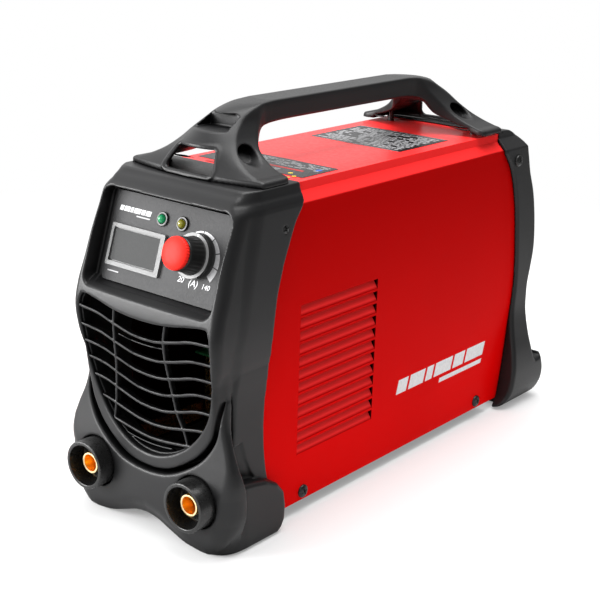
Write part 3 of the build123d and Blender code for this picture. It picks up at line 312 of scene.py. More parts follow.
def moulding(name, field, low, high, step, mirror_x=True, mirror_y=None):
    """Meshes a field between two corners.

    With mirror_x only the x > 0 half is worked out. With mirror_y the part in
    front of that y is worked out and mirrored behind it.
    """
    low, high = list(low), list(high)
    if mirror_x:
        low[0] = step / 2
    if mirror_y:
        high[1] = mirror_y - step / 2
    axes = [np.arange(a, b + step, step) for a, b in zip(low, high)]
    if mirror_y:
        axes[1] = mirror_y - step / 2 - step * np.arange(len(axes[1]))[::-1]
    values = np.broadcast_to(field(*np.ix_(*axes)), [len(a) for a in axes])
    corner = [a[0] for a in axes]
    if mirror_x:
        values = np.concatenate([values[::-1], values], 0)
        corner[0] = -axes[0][-1]
    if mirror_y:
        values = np.concatenate([values, values[:, ::-1]], 1)
    verts, quads = surface_nets(values, corner, step)
    ob = quad_object(name, verts + np.array([0, RIM_Y, 0]), quads)
    drop_crumbs(ob.data)
    limit_triangles(ob)
    return ob


# --------------------------------------------------------------- materials
materials = {}


class Look:
    """A shader node tree with short ways to add nodes to it."""

    def __init__(self, tree):
        self.tree = tree

    def feed(self, socket, value):
        """Links a socket to an input, or sets the input's value."""
        if isinstance(value, bpy.types.NodeSocket):
            self.tree.links.new(value, socket)
        elif socket.type == "RGBA":
            socket.default_value = (*value, 1)
        else:
            socket.default_value = value

    def node(self, kind, inputs=None, **settings):
        made = self.tree.nodes.new("ShaderNode" + kind)
        for key, value in settings.items():
            setattr(made, key, value)
        for key, value in (inputs or {}).items():
            self.feed(made.inputs[key], value)
        return made

    def surface(self, inputs):
        for key, value in inputs.items():
            self.feed(self.bsdf.inputs[key], value)

    def coords(self, kind="Object"):
        return self.node("TexCoord").outputs[kind]

    def noise(self, scale, detail=2.0, roughness=0.5, vector=None):
        inputs = {"Scale": scale, "Detail": detail, "Roughness": roughness}
        inputs["Vector"] = vector or self.place
        return self.node("TexNoise", inputs).outputs["Fac"]

    def remap(self, source, span=(0.3, 0.7), to=(0.0, 1.0)):
        """Maps a span of the source to another; the default suits a noise."""
        inputs = {1: span[0], 2: span[1], 3: to[0], 4: to[1], 0: source}
        return self.node("MapRange", inputs).outputs[0]

    def mix(self, factor, first, second):
        """The first colour where the factor is 0, the second where it is 1."""
        return self.node("Mix", {0: factor, 6: first, 7: second}, data_type="RGBA").outputs[2]

    def math(self, operation, *values):
        return self.node("Math", dict(enumerate(values)), operation=operation).outputs[0]

    def split(self, vector):
        return self.node("SeparateXYZ", {0: vector}).outputs

    def bump(self, height, distance):
        inputs = {"Strength": 1.0, "Distance": distance, "Height": height}
        self.surface({"Normal": self.node("Bump", inputs).outputs[0]})


def new_look(name):
    material = bpy.data.materials.new(f"{name}_look")
    material.use_nodes = True
    material.node_tree.nodes.clear()
    look = Look(material.node_tree)
    look.output = look.node("OutputMaterial")
    look.bsdf = look.node("BsdfPrincipled")
    look.feed(look.output.inputs[0], look.bsdf.outputs[0])
    look.place = look.coords()
    materials[name] = material
    return look


def tint(color, factor, lift=0.0, limit=1.0):
    return tuple(min(limit, v * factor + lift) for v in color)


def plastic(name, color, rough, grain=900.0, depth=0.00006, spec=0.45, wear=0.35, painted_shade_reach=0.0):
    """Grained plastic, paler on worn edges; the last argument is the reach in metres of the
    painted shade in grooves and deep corners.
    """
    look = new_look(name)
    fine = look.noise(grain, detail=3.0, roughness=0.6)
    broad = look.noise(18.0)
    base = look.mix(look.remap(broad), tint(color, 0.88), tint(color, 1.12, limit=math.inf))
    speckle = look.remap(fine, span=(0.35, 0.65), to=(0.0, 0.28))
    base = look.mix(speckle, base, tint(color, 1.5))
    pointiness = look.node("NewGeometry").outputs["Pointiness"]
    edge = look.math("MULTIPLY", look.remap(pointiness, span=(0.515, 0.6)), wear)
    base = look.mix(edge, base, tint(color, 1.9, lift=0.01))
    look.surface({"Specular IOR Level": spec})
    if painted_shade_reach:
        # painted shade: grooves and deep corners are painted near black and lose their shine, by
        # an occlusion mask
        occlusion = look.node("AmbientOcclusion", {"Distance": painted_shade_reach}, samples=6).outputs["AO"]
        span = (0.25, 0.80)
        base = look.mix(look.remap(occlusion, span), tint(color, 0.12), base)
        shine = look.remap(occlusion, span, to=(spec * 0.10, spec))
        look.surface({"Specular IOR Level": shine})
    roughness = look.remap(fine, to=(rough - 0.06, rough + 0.07))
    look.surface({"Base Color": base, "Roughness": roughness})
    look.bump(fine, distance=depth)


def steel_paint(name, color, rough):
    look = new_look(name)
    fine = look.noise(350.0)
    broad = look.noise(9.0)
    look.surface({
        "Base Color": look.mix(look.remap(broad), tint(color, 0.94), tint(color, 1.05)),
        "Roughness": look.remap(fine, to=(rough - 0.03, rough + 0.04)),
        "Coat Weight": 0.0,
        "Coat Roughness": 0.12,
        "Specular IOR Level": 0.4,
    })
    look.bump(fine, distance=0.00001)


def cover_paint(name):
    """Red powder coat outside, with painted light and shade; the inside of the cover is painted
    near black as painted shade.
    """
    look = new_look(name)
    fine = look.noise(420.0)
    broad = look.noise(9.0)
    place = look.split(look.place)
    off_centre = look.math("ABSOLUTE", place["X"])
    # painted shade: the red is painted darker towards the top of the side walls
    high_shade = look.remap(place["Z"], span=(0.04, 0.215))
    red = look.mix(look.remap(broad), (0.72, 0.0012, 0.0012), (0.78, 0.0015, 0.0015))
    red = look.mix(high_shade, red, (0.44, 0.0004, 0.0004))
    # painted shade where the surface turns up, and painted light on the flat top
    geometry = look.node("NewGeometry").outputs
    normal = look.split(geometry["Normal"])
    red = look.mix(look.remap(normal["Z"], span=(0.35, 0.60)), red, (0.26, 0.0008, 0.0008))
    red = look.mix(look.remap(normal["Z"], span=(0.80, 0.97)), red, (0.74, 0.006, 0.006))
    # painted light: the blades of the louvres, which stand back from the wall, are painted
    # brighter
    blade = look.remap(off_centre, span=(0.0597, 0.0606), to=(1.0, 0.0))
    # painted shade: faces turned inward or downward are painted near black
    outward = look.math("MULTIPLY", place["X"], normal["X"])
    facing_in = look.remap(outward, span=(-0.012, -0.006), to=(1.0, 0.0))
    facing_down = look.remap(normal["Z"], span=(-0.9, -0.8), to=(1.0, 0.0))
    inside = look.math("MAXIMUM", facing_in, facing_down)
    base = look.mix(blade, red, (0.95, 0.030, 0.030))
    # painted shade: faces turned to the front or the rear are painted dark red
    end_shade = look.remap(look.math("ABSOLUTE", normal["Y"]), span=(0.8, 0.9))
    base = look.mix(end_shade, base, (0.05, 0.002, 0.002))
    base = look.mix(inside, base, (0.012, 0.010, 0.010))
    # painted shade: below the roof, whatever is seen from across the middle is painted nearly
    # black
    incoming = look.split(geometry["Incoming"])
    toward = look.math("MULTIPLY", place["X"], incoming["X"])
    low = look.remap(place["Z"], span=(0.16, 0.165), to=(1.0, 0.0))
    far_side_shade = look.remap(toward, span=(-0.004, 0.0), to=(1.0, 0.0))
    base = look.mix(look.math("MULTIPLY", far_side_shade, low), base, (0.006, 0.001, 0.001))
    look.surface({
        "Base Color": base,
        "Roughness": look.remap(fine, to=(0.30, 0.38)),
        "Specular IOR Level": look.remap(normal["Z"], span=(0.75, 0.97), to=(0.012, 0.25)),
    })
    look.bump(fine, distance=0.00001)


def metal(name, color, rough, brushed=0.0, rim=None):
    """Metal, with grain drawn out along y if brushed; rim is the colour of its front end."""
    look = new_look(name)
    stretch = {0: look.place, "Scale": (1.0, 1.0 - 0.93 * brushed, 1.0)}
    drawn = look.node("Mapping", stretch).outputs[0]
    fine = look.noise(880.0, detail=3.0, roughness=0.6, vector=drawn)
    broad = look.noise(40.0, detail=3.0, roughness=0.6)
    patches = look.remap(broad, span=(0.35, 0.65))
    base = look.mix(patches, tint(color, 0.86), tint(color, 1.06))
    if rim:
        y = look.split(look.place)["Y"]
        base = look.mix(look.remap(y, span=(-0.21875, -0.21850), to=(1.0, 0.0)), base, rim)
    look.surface({
        "Base Color": base,
        "Metallic": 1.0,
        "Roughness": look.remap(fine, to=(rough - 0.07, rough + 0.1)),
    })
    look.bump(fine, distance=0.00002)


def lens(name, color, glow):
    look = new_look(name)
    fine = look.noise(300.0)
    facing = look.node("LayerWeight", {0: 0.35}).outputs["Facing"]
    base = look.mix(facing, tint(color, 1.35), tint(color, 0.5))
    look.surface({
        "Base Color": base,
        "Roughness": look.remap(fine, to=(0.12 - 0.04, 0.12 + 0.05)),
        "Subsurface Weight": 0.25,
        "Subsurface Radius": (0.001, 0.001, 0.001),
        "Coat Weight": 0.6,
        "Emission Color": base,
        "Emission Strength": glow,
    })
    look.bump(fine, distance=0.00001)


def board(name):
    """Green circuit board with blocky traces."""
    look = new_look(name)
    inputs = {"Scale": 160.0, "Vector": look.place}
    cells = look.node("TexVoronoi", inputs, distance="CHEBYCHEV").outputs["Distance"]
    traces = look.remap(cells, span=(0.30, 0.36))
    base = look.mix(traces, (0.012, 0.10, 0.035), (0.03, 0.17, 0.06))
    look.surface({"Base Color": base, "Roughness": 0.35})
    look.bump(traces, distance=0.00004)


def wound(name, color, pitch):
    """Enamelled wire: fine ridges, spaced by the pitch in metres."""
    look = new_look(name)
    inputs = {"Scale": 1.0 / pitch / 2, "Distortion": 0.3, "Vector": look.place}
    turns = look.node("TexWave", inputs, bands_direction="Z").outputs["Fac"]
    base = look.mix(turns, tint(color, 0.45), color)
    look.surface({"Base Color": base, "Metallic": 0.6, "Roughness": 0.35})
    look.bump(turns, distance=0.0004)


def film(name, color, rough=0.4, spec=0.3):
    """Flat printing ink, tape or sheet."""
    look = new_look(name)
    fine = look.noise(500.0)
    patches = look.remap(fine, span=(0.35, 0.65))
    look.surface({
        "Base Color": look.mix(patches, tint(color, 0.93), tint(color, 1.05)),
        "Roughness": look.remap(fine, to=(rough - 0.04, rough + 0.06)),
        "Specular IOR Level": spec,
    })
    look.bump(fine, distance=0.00001)


cover_paint("cover_paint")
steel_paint("pan_steel", (0.03, 0.03, 0.03), rough=0.45)
plastic("panel_paint", (0.035, 0.035, 0.036), rough=0.5, grain=700, depth=0.00012)
# the bezel plastic gets painted shade in its grooves and deep corners
plastic("bezel_plastic", (0.0085, 0.0085, 0.009), rough=0.37, grain=1100, depth=0.00004,
        spec=0.30, wear=0.5, painted_shade_reach=0.016)
plastic("sleeve_plastic", (0.006, 0.006, 0.006), rough=0.30, grain=600, depth=0.00002, wear=0.15)
plastic("panel_plastic", (0.042, 0.042, 0.043), rough=0.55, grain=620, depth=0.00022,
        wear=0.2, spec=0.22)
plastic("meter_plastic", (0.10, 0.10, 0.10), rough=0.38, depth=0.00003)
film("meter_window", (0.028, 0.029, 0.029), rough=0.30, spec=0.08)
board("circuit_board")
lens("lamp_green", (0.004, 0.21, 0.075), glow=0.25)
lens("lamp_yellow", (0.17, 0.16, 0.005), glow=0.15)
metal("zinc_steel", (0.62, 0.62, 0.60), rough=0.32)
plastic("knob_plastic", (0.008, 0.008, 0.008), rough=0.36, grain=700, depth=0.00002)
plastic("knob_grey", (0.17, 0.17, 0.17), rough=0.42, grain=800, depth=0.00003)
plastic("cap_red", (0.93, 0.022, 0.014), rough=0.45, grain=500, depth=0.00002, wear=0.0, spec=0.12)
metal("brass_plain", (0.75, 0.58, 0.25), rough=0.28)
metal("socket_brass", (0.95, 0.52, 0.06), rough=0.34, rim=(1.0, 0.80, 0.46))
metal("copper", (0.80, 0.38, 0.18), rough=0.30)
metal("sink_aluminium", (0.75, 0.76, 0.77), rough=0.36, brushed=1.0)
plastic("component_black", (0.02, 0.02, 0.022), rough=0.4)
plastic("ferrite", (0.045, 0.045, 0.05), rough=0.5, grain=1500, depth=0.0001)
metal("guard_chrome", (0.72, 0.72, 0.74), rough=0.18)
plastic("screw_black", (0.006, 0.006, 0.006), rough=0.28, grain=500, depth=0.00003, wear=0.6)
film("label_film", (0.012, 0.012, 0.013), rough=0.3)
plastic("rocker_red", (0.65, 0.02, 0.015), rough=0.3, grain=500, depth=0.00002)
plastic("gland_plastic", (0.015, 0.015, 0.016), rough=0.42)
plastic("cord_rubber", (0.02, 0.02, 0.021), rough=0.6, grain=1300)
film("print_white", (0.82, 0.82, 0.83))
film("print_grey", (0.42, 0.42, 0.43))
film("print_red", (0.55, 0.01, 0.01))
film("print_yellow", (0.75, 0.55, 0.03))
film("print_blue", (0.05, 0.15, 0.5))
film("print_dark", (0.02, 0.02, 0.02))
wound("coil", (0.72, 0.33, 0.14), pitch=0.0016)
film("tape", (0.55, 0.42, 0.03))

# CAD pieces take the look of their material slot, apart from these
slot_of = {part["node"]: part["material_slot"] for part in frame["record"]["subparts"]}
own_look = {
    "socket_sleeves": "sleeve_plastic", "led_holders": "print_dark",
    "filter_choke": "coil", "output_choke": "coil", "transformer_winding": "tape",
}
for node_name, ob in frame["nodes"].items():
    material = materials[own_look.get(node_name, slot_of[node_name])]
    if not ob.material_slots:
        ob.data.materials.append(material)
    for material_slot in ob.material_slots:
        material_slot.material = material


def finish_piece(ob, look, body="case", replaces=None):
    """Gives a piece its look, the body it rides on and the CAD piece it replaces."""
    ob.data.materials.clear()
    ob.data.materials.append(materials[look])
    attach(ob, body)
    if replaces:
        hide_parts(replaces)


# ------------------------------------------------------------- front bezel
# Profiles up the middle, (z, y): the head with its tongue, and the legs
HEAD_FACE = smooth([
    (45, 14.4), (52, 14.6), (60, 15.2), (80, 16.4), (95, 15.8), (111, 13.6), (130, 10.2),
    (150, 8), (165, 10.4), (180, 15), (199, 20.5), (215, 26.5), (227, 32), (233, 36.8),
    (236.5, 42), (239.5, 50),
])
LEG_FACE = smooth([
    (0, 12.5), (14, 11.2), (38, 11), (50, 11.9), (60, 13.6), (70, 15.4), (80, 17), (92, 18.6),
    (104, 20), (113, 21), (125, 21),
])
CORE_FACE = linear([
    (0, 16), (36, 22), (46, 30), (56, 31), (71, 30), (86, 31), (112, 31), (122, 29), (140, 27),
    (230, 48),
])
# Half widths, (z, x)
HEAD_HALF = smooth([
    (112, 60.9), (119, 61.5), (123.5, 62.9), (130, 64.8), (145, 66.4), (165, 66), (190, 64.4),
    (212, 63.3), (225, 63),
])
SHOULDER = smooth([
    (224, 63), (227, 62.6), (230, 61.2), (233, 59.4), (236, 58.6), (238, 58.2), (240, 58),
])
CORE_HALF = 63.0
# Rear limits of the flank, of the legs and of the flank's scoop, (z, y)
FLANK_REAR = smooth([
    (11, 76), (40.3, 66), (71, 61.5), (111.5, 62.6), (155.7, 65.6), (178.7, 71.1),
    (199.4, 79.3), (215, 86.3), (228, 94.8), (240, 95.3),
])
LEG_REAR = linear([
    (0, 31), (16, 30.5), (36, 29), (46, 28), (55, 26), (64, 24.4), (75, 24.2), (90, 26.5),
    (104, 29), (119, 30),
])
SCOOP_REAR = linear([(38, 57), (50.5, 49.3), (62.4, 43.7), (74.7, 39.7)])
# Edge radii, (z, radius)
HEAD_ROUND_Y = linear([
    (46, 2.2), (70, 2.6), (100, 4), (118, 5.5), (150, 7.5), (215, 11), (232, 11), (238, 7),
])
HEAD_ROUND_X = linear([
    (46, 2.2), (70, 2.6), (100, 3), (118, 3.8), (150, 5), (180, 6.4), (215, 8), (232, 6.5),
    (238, 4.5),
])
LEG_ROUND = linear([
    (0, 4.5), (10, 9), (25, 13), (44, 13), (54, 8.5), (64, 4.5), (75, 3.6), (90, 4), (112, 4.5),
])
CORE_ROUND = linear([(0, 2.5), (112, 2.5), (125, 8), (150, 10)])
WAIST_ROUND = linear([(92, 0.01), (100, 0.9), (108, 2.6), (116, 5), (122, 6.4), (130, 7)])
# The hollow: its front, (z, y), and its edge radii, (z, radius)
HOLLOW_FACE = linear([
    (0, 33), (60, 34), (112, 34.5), (122, 24), (150, 14), (165, 16), (180, 19.5), (199, 25),
    (215, 31), (227, 37.5), (232, 45), (235, 52), (237.2, 60),
])
HOLLOW_ROUND_Y = linear([
    (60, 6), (112, 8), (118, 12), (150, 16), (215, 17), (232, 12), (238, 8),
])
HOLLOW_ROUND_X = linear([
    (60, 2), (112, 2.2), (118, 3), (150, 4.4), (180, 7.2), (215, 7.8), (232, 6.5), (238, 5),
])

# Front outlines of the x >= 0 half, (x, z); they are closed well past x = 0
tongue_edge = [
    (65, 119), (62.9, 112), (60.8, 104.5), (58.2, 92), (55.4, 81), (47, 68.5), (35, 58.5),
    (20, 50.3), (8, 47.4), (0, 47),
]
leg_inner_edge = [
    (0, 45.2), (8, 45.6), (21, 48), (37, 55.8), (50.2, 66.2), (58.8, 80), (60.8, 92),
    (61.6, 102), (61.9, 110), (60, 121), (52, 135),
]
leg_outer_edge = [
    (53, 135), (60.6, 121), (62.9, 110), (63.9, 102), (66.2, 88), (73, 70), (78.4, 53),
    (78.3, 40), (77.2, 28), (69.5, 10), (62.5, 3.2), (56, 0),
]
arch = [(49, 0), (34.2, 2.7), (21.4, 7), (10, 11), (0, 12.5)]
grille_top = [(0, 151.2), (15, 151.8), (28, 153.3), (40, 155.6), (51, 157.3)]
grille_edge = [
    (57, 157.4), (59.3, 152), (59.3, 130), (57, 110), (51.6, 92), (42, 77), (32, 67.5),
    (19, 60), (9, 56.9), (0, 56),
]
HEAD_OUTLINE = np.vstack([
    [(-40, 260), (80, 260), (80, 119.5)], curve(tongue_edge), [(-40, 47)],
])
LEG_INNER = np.vstack([
    [(-40, 45.2)], curve(leg_inner_edge), [(90, 135), (90, -20), (-40, -20)],
])
LEG_OUTER = np.vstack([[(-40, 135)], curve(leg_outer_edge), curve(arch), [(-40, 12.5)]])
ABOVE_ARCH = np.vstack([
    [(-40, 300), (120, 300), (120, 0), (56, 0)], curve(arch), [(-40, 12.5)],
])
GRILLE_OPENING = np.vstack([[(-30, 150)], curve(grille_top), curve(grille_edge), [(-30, 56)]])

# Foot block from the side, (y, z), and from above, (x, y)
FOOT_SIDE = [
    (24, 48.4), (34, 48.3), (45, 46.4), (57, 43.8), (69, 37.6), (75.8, 29.5), (77.8, 19),
    (77.2, 8.5), (74.4, 3.1), (70, 0), (4, 0), (4, 20),
]
foot_corner = [(56, 14.6), (62.5, 17), (67.4, 21.6), (70.2, 28.5), (71.2, 37)]
FOOT_PLAN = np.vstack([[(-40, 90), (-40, 14), (50, 14)], curve(foot_corner, 6), [(71.2, 90)]])


def panel_y(z):
    """y of the leaning front panel at a height."""
    return PANEL_Y + (z - PANEL_Z) * UP_Y / UP_Z


def front_flank(x, z, half_below):
    """Distance outside the side wall, given its half width below the shoulder."""
    above = z > SHOULDER_Z
    half = np.where(above, SHOULDER(z), half_below)
    return (x - half) / np.where(above, steepness(SHOULDER, z), 1.0)


def bezel_head(x, y, z):
    """Head with the tongue that frames the grille."""
    crown = 1.6 * (x / 60.0) ** 2
    face = (HEAD_FACE(z) + crown - y) / steepness(HEAD_FACE, z)
    side = front_flank(x, z, HEAD_HALF(z))
    head = meet_oval(face, side, HEAD_ROUND_Y(z), HEAD_ROUND_X(z))
    return meet(head, polygon(x, z, HEAD_OUTLINE), 1.8)


def bezel_legs(x, y, z):
    """Flared legs below the waist; the flare dies away behind the corner."""
    face = (LEG_FACE(z) + 0.8 * (x / 60.0) ** 2 - y) / steepness(LEG_FACE, z)
    leg = meet(face, polygon(x, z, LEG_OUTER), LEG_ROUND(z))
    leg = meet(leg, polygon(x, z, LEG_INNER), 1.6)
    behind = y - LEG_REAR(z) - 3.0 * np.clip(60.5 - x, 0, 12)
    return meet(leg, behind, 1.4)


def bezel_core(x, y, z, above_arch):
    """Core behind head and legs, with the flank that reaches back over the cover."""
    # shallow scoop in the flank above the foot block
    rear = SCOOP_REAR(z)
    below = np.clip((75.5 + 0.29 * (y - 39.7) - z) / 0.8, 0, 1)
    scoop = below * np.clip((rear - y) / 0.8, 0, 1) * np.clip(z / 40.0, 0, 1)
    side = front_flank(x, z, CORE_HALF) + scoop * (0.9 + 0.20 * np.clip(rear - y, 0, 14))
    core = meet(CORE_FACE(z) - y, side, CORE_ROUND(z))
    return np.maximum(np.maximum(core, above_arch), 4.0 - z)


def bezel_hollow(x, y, z, skin, pane, well):
    """Hollow for the cover and behind the front wall."""
    half = np.where(z > 224.4, np.maximum(COVER_HALF - (z - 224.4), 54.1), COVER_HALF)
    hollow = meet_oval(HOLLOW_FACE(z) - y, x - half, HOLLOW_ROUND_Y(z), HOLLOW_ROUND_X(z))
    hollow = np.maximum(hollow, np.maximum(z - ROOF_Z, 9.0 - z))
    hollow = np.maximum(hollow, skin + 1.9)
    # material stays round the panel recess and the socket wells
    hollow = hole(hollow, np.maximum(pane - 2.0, y - (panel_y(z) + 1.8)))
    return hole(hollow, np.maximum(well - 20.0, y - 26.0))


def front_bezel_field(x, y, z):
    above_arch = polygon(x, z, ABOVE_ARCH)
    head = bezel_head(x, y, z)
    legs = bezel_legs(x, y, z)
    core = bezel_core(x, y, z, above_arch)
    foot = meet(polygon(y, z, FOOT_SIDE), polygon(x, y, FOOT_PLAN), 3.6)
    foot = np.maximum(foot, above_arch)
    body = merge(merge(head, core, 0.8), merge(legs, core, 1.2), WAIST_ROUND(z))
    body = meet(body, y - FLANK_REAR(np.maximum(z, 40.0)), 0.8)
    body = merge(body, foot, 1.5)
    body = meet(body, z - BEZEL_TOP, 1.2)
    body = np.maximum(body, -z)

    pane = round_rect(x, z - 195.3, half_x=58.2, half_z=32.2, r=7.5)
    well = np.hypot(x - SOCKET_X, z - SOCKET_Z)
    skin = np.minimum(np.minimum(head, core), legs)
    body = hole(body, bezel_hollow(x, y, z, skin, pane, well))

    # panel recess, whose sill falls towards the front, and the opening in its floor
    recess = np.maximum(pane, 163.0 + np.clip(y - 11.0, 0, 30) * 0.36 - z)
    body = cut(body, np.maximum(recess, y - (panel_y(z) - 0.5)), 1.3)
    body = hole(body, round_rect(x, z - 195.9, half_x=54.2, half_z=30.9, r=4.6))
    body = cut(body, np.maximum(polygon(x, z, GRILLE_OPENING), y - 60.0), 1.4)
    # socket wells and the bores behind them
    body = cut(body, np.maximum(well - 17.9, y - 23.0), 1.0)
    body = hole(body, np.maximum(well - 6.3, y - 40.0))
    screw = np.hypot(y - FRONT_SCREW[0], z - FRONT_SCREW[1])
    return hole(body, np.maximum(screw - SCREW_HOLE, 50 - x))


bezel = moulding("front_bezel_shell", front_bezel_field, (0, 6, -2), (81.5, 99, 242), BEZEL_STEP)
finish_piece(bezel, "bezel_plastic", replaces="front_bezel")

# ------------------------------------------------------------------ grille
# Height of each slat at the middle and at its ends
SLATS = [
    (138, 148), (124, 134.5), (111.5, 122.5), (99.2, 110.7), (87.5, 98.3), (76, 84.8), (66, 72.7),
]
# Upright ribs, (z, x)
RIBS = [
    smooth([
        (72, -35.8), (74, -35.6), (94, -33.6), (112, -31), (132, -29), (152, -27), (156, -26.8),
    ]),
    smooth([
        (64, 34.5), (72.6, 32.4), (90, 23.3), (104, 20.4), (120, 18.4), (135, 17.8), (153, 20.5),
        (156, 21.2),
    ]),
]
grille_half = GRILLE_OPENING[1:-1]
GRILLE_OUTLINE = np.vstack([grille_half, (grille_half * [-1, 1])[::-1]])


def grille_field(x, y, z):
    front = HEAD_FACE(z) + 2.6
    layer = meet(front - y, y - (front + 7.0), 0.4)
    outline = polygon(x, z, GRILLE_OUTLINE)
    across = np.abs(x)
    lean = (y - front) * -0.36  # blades lean down to the rear
    solid = 1e3
    for i, (middle, end) in enumerate(SLATS):
        height = smooth([
            (0, middle), (12, middle + 0.9), (28, middle + 0.47 * (end - middle)),
            (42, end - 1.6), (62, end + 0.2),
        ])
        blade = np.abs(z - height(across) - lean) / steepness(height, across) - 1.12
        solid = np.minimum(solid, meet(blade, layer, 0.7))
        if i in (0, len(SLATS) - 1):
            # second lip under the middle of the first and last slats
            lip_z = middle - 2.6 - 1.6 * (1 - (x + 3.0) ** 2 / 400.0)
            lip = meet(np.abs(z - lip_z - lean) - 0.55, layer + 1.4, 0.4)
            solid = np.minimum(solid, np.maximum(lip, np.abs(x + 3.0) - 22.0))
    rib_layer = np.maximum(layer + 0.3, y - (front + 4.5))
    for rib_x in RIBS:
        rib = np.abs(x - rib_x(z)) / steepness(rib_x, z) - 0.95
        solid = np.minimum(solid, meet(rib, rib_layer, 0.6))
    solid = np.maximum(solid, outline - 1.2)
    rim_layer = np.maximum(front + 2.0 - y, y - (front + 9.5))
    return np.minimum(solid, np.maximum(np.abs(outline) - 0.9, rim_layer))


grille = moulding("front_grille_slats", grille_field, (-62, 8, 50), (62, 34, 162), GRILLE_STEP,
                  mirror_x=False)
finish_piece(grille, "bezel_plastic", replaces="front_grille")

# ------------------------------------------------------------------ handle
HANDLE_MIDDLE = 203.7  # y the handle is mirrored about
# Side view, (y, z): the outer line up the leg and the underside of the grip
handle_top = [
    (60.4, 237.5), (60.4, 239.8), (60.2, 242.4), (60.9, 245.6), (66.2, 254.3), (72, 260.8),
    (77.8, 266.9), (86.5, 272.8), (95.6, 277.6), (108.4, 281.4), (124, 283),
]
handle_under = [
    (148, 268.6), (137, 268.4), (128.8, 267.8), (118.6, 266.1), (113.6, 264.3), (110.4, 261.9),
    (106.4, 256), (101, 248.6), (95.5, 243), (90, 239.8),
]
HANDLE_SIDE = np.vstack([
    curve(handle_top), [(240, 283), (240, 268.6)], curve(handle_under), [(92, 237.5)],
])
HANDLE_BELOW_TOP = np.vstack([
    curve([(60.4, 232)] + handle_top[1:]), [(260, 283), (260, 232)],
])
# Front view of the spreading leg, (x, z), and its half width, (z, x)
flare_edge = [
    (12.2, 290), (12.2, 283), (12.8, 281.3), (14.2, 277.6), (15.9, 272.8), (19.4, 266.9),
    (23.9, 260.8), (30.8, 254.3), (41.2, 248.5), (51.6, 244.8), (58.4, 242.8), (59.2, 241.2),
    (59.4, 236),
]
HANDLE_FRONT = np.vstack([[(-40, 290)], curve(flare_edge), [(-40, 236)]])
LEG_HALF = smooth([
    (239.8, 59.4), (242.6, 58.6), (244.6, 52), (248.5, 41.2), (254.3, 30.8), (260.8, 23.9),
    (266.9, 19.4), (272.8, 15.9), (277.6, 14.2), (281.3, 12.8), (283, 12.2),
])
# How far the leg bows forward in the middle, (z, distance)
BOW = smooth([
    (239.8, 9.4), (243, 9.2), (246, 8.2), (248.5, 8.2), (254.3, 9.6), (260.8, 11.4),
    (266.9, 11.2), (272.8, 12.4), (277.6, 12.8), (281.3, 9), (283, 3), (290, 0),
])
# Seen from above, (x, y)
plan_edge = [
    (61, 82), (57, 86.6), (46, 87.4), (37, 89.4), (30, 91.4), (26, 93.4), (20, 99.5),
    (16, 105.5), (12.9, 113), (12.3, 122),
]
HANDLE_PLAN = np.vstack([
    [(-40, 20), (61, 20), (61, 83)], curve(plan_edge), [(12.3, 260), (-40, 260)],
])
# Window low in the leg, (x, z)
LEG_WINDOW = [
    (-30, 257.4), (14.6, 257.4), (16.4, 256.2), (20.4, 246), (20.2, 244.2), (18.4, 243),
    (-30, 243),
]
OVAL_Y, OVAL_Z = 78.2, 254.6
OVAL_LONG, OVAL_SHORT = 8.3, 5.4
OVAL_TILT = math.radians(13)


def side_sampler(y, z):
    """Returns a function giving a side outline's distance at the points, from a table."""
    step = 0.7
    ys = np.arange(40, 242, step)
    zs = np.arange(234, 292, step)
    u = np.clip((y - ys[0]) / step, 0, len(ys) - 1.001)
    v = np.clip((z - zs[0]) / step, 0, len(zs) - 1.001)
    i, j = u.astype(int), v.astype(int)
    fu, fv = u - i, v - j

    def sample(outline):
        grid = polygon(ys[:, None], zs[None, :], outline)
        return (grid[i, j] * (1 - fu) * (1 - fv) + grid[i + 1, j] * fu * (1 - fv)
                + grid[i, j + 1] * (1 - fu) * fv + grid[i + 1, j + 1] * fu * fv)
    return sample


def handle_field(x, y, z):
    half = LEG_HALF(z)
    bow = BOW(z) * np.clip(1 - (x / half) ** 2, 0, 1) * np.clip((150.0 - y) / 30.0, 0, 1)
    sample = side_sampler(y + bow, z)
    front = polygon(x, z, HANDLE_FRONT)
    body = meet(sample(HANDLE_SIDE), front, 1.3)
    body = meet(body, polygon(x, y, HANDLE_PLAN), 1.6)
    body = np.maximum(body, 239.7 - z)
    # the leg is a skin: open underneath and towards the middle, with a low cross strip
    void = np.maximum(sample(HANDLE_BELOW_TOP) + 3.4, front + 3.4)
    void = np.maximum(void, np.maximum(z - 262.0, y - 118.0))
    strip = np.maximum(np.maximum(87.0 - y, y - 93.5), z - 243.2)
    void = np.maximum(hole(void, strip), x - (half - 12.5))
    body = cut(body, void, 0.7)
    # lower window right through the skin, with a raised frame at the front
    window = polygon(x, z, LEG_WINDOW)
    near_front = np.clip((80.0 - y) / 4.0, 0, 1)
    body = body - 0.7 * np.exp(-(((window - 2.4) / 0.9) ** 2)) * near_front
    body = cut(body, np.maximum(window, y - 90.0), 1.0)
    # pocket above it
    pocket = np.maximum(x - (12.2 + (277.0 - z) * 0.2), 267.6 - z)
    pocket = np.maximum(pocket, np.maximum(z - 277.2, y - 89.0))
    body = cut(body, pocket, 0.9)
    # slanted oval holes from both flanks, leaving a web in the middle
    cos, sin = math.cos(OVAL_TILT), math.sin(OVAL_TILT)
    dy, dz = y - OVAL_Y, z - OVAL_Z
    oval = np.hypot((dy * cos + dz * sin) / OVAL_LONG, (-dy * sin + dz * cos) / OVAL_SHORT) - 1
    return cut(body, np.maximum(oval * OVAL_SHORT, half - 9.0 - x), 0.8)


handle = moulding("handle_grip", handle_field, (0, 36, 236), (64, HANDLE_MIDDLE, 286),
                  HANDLE_STEP, mirror_y=HANDLE_MIDDLE)
finish_piece(handle, "bezel_plastic", replaces="handle")

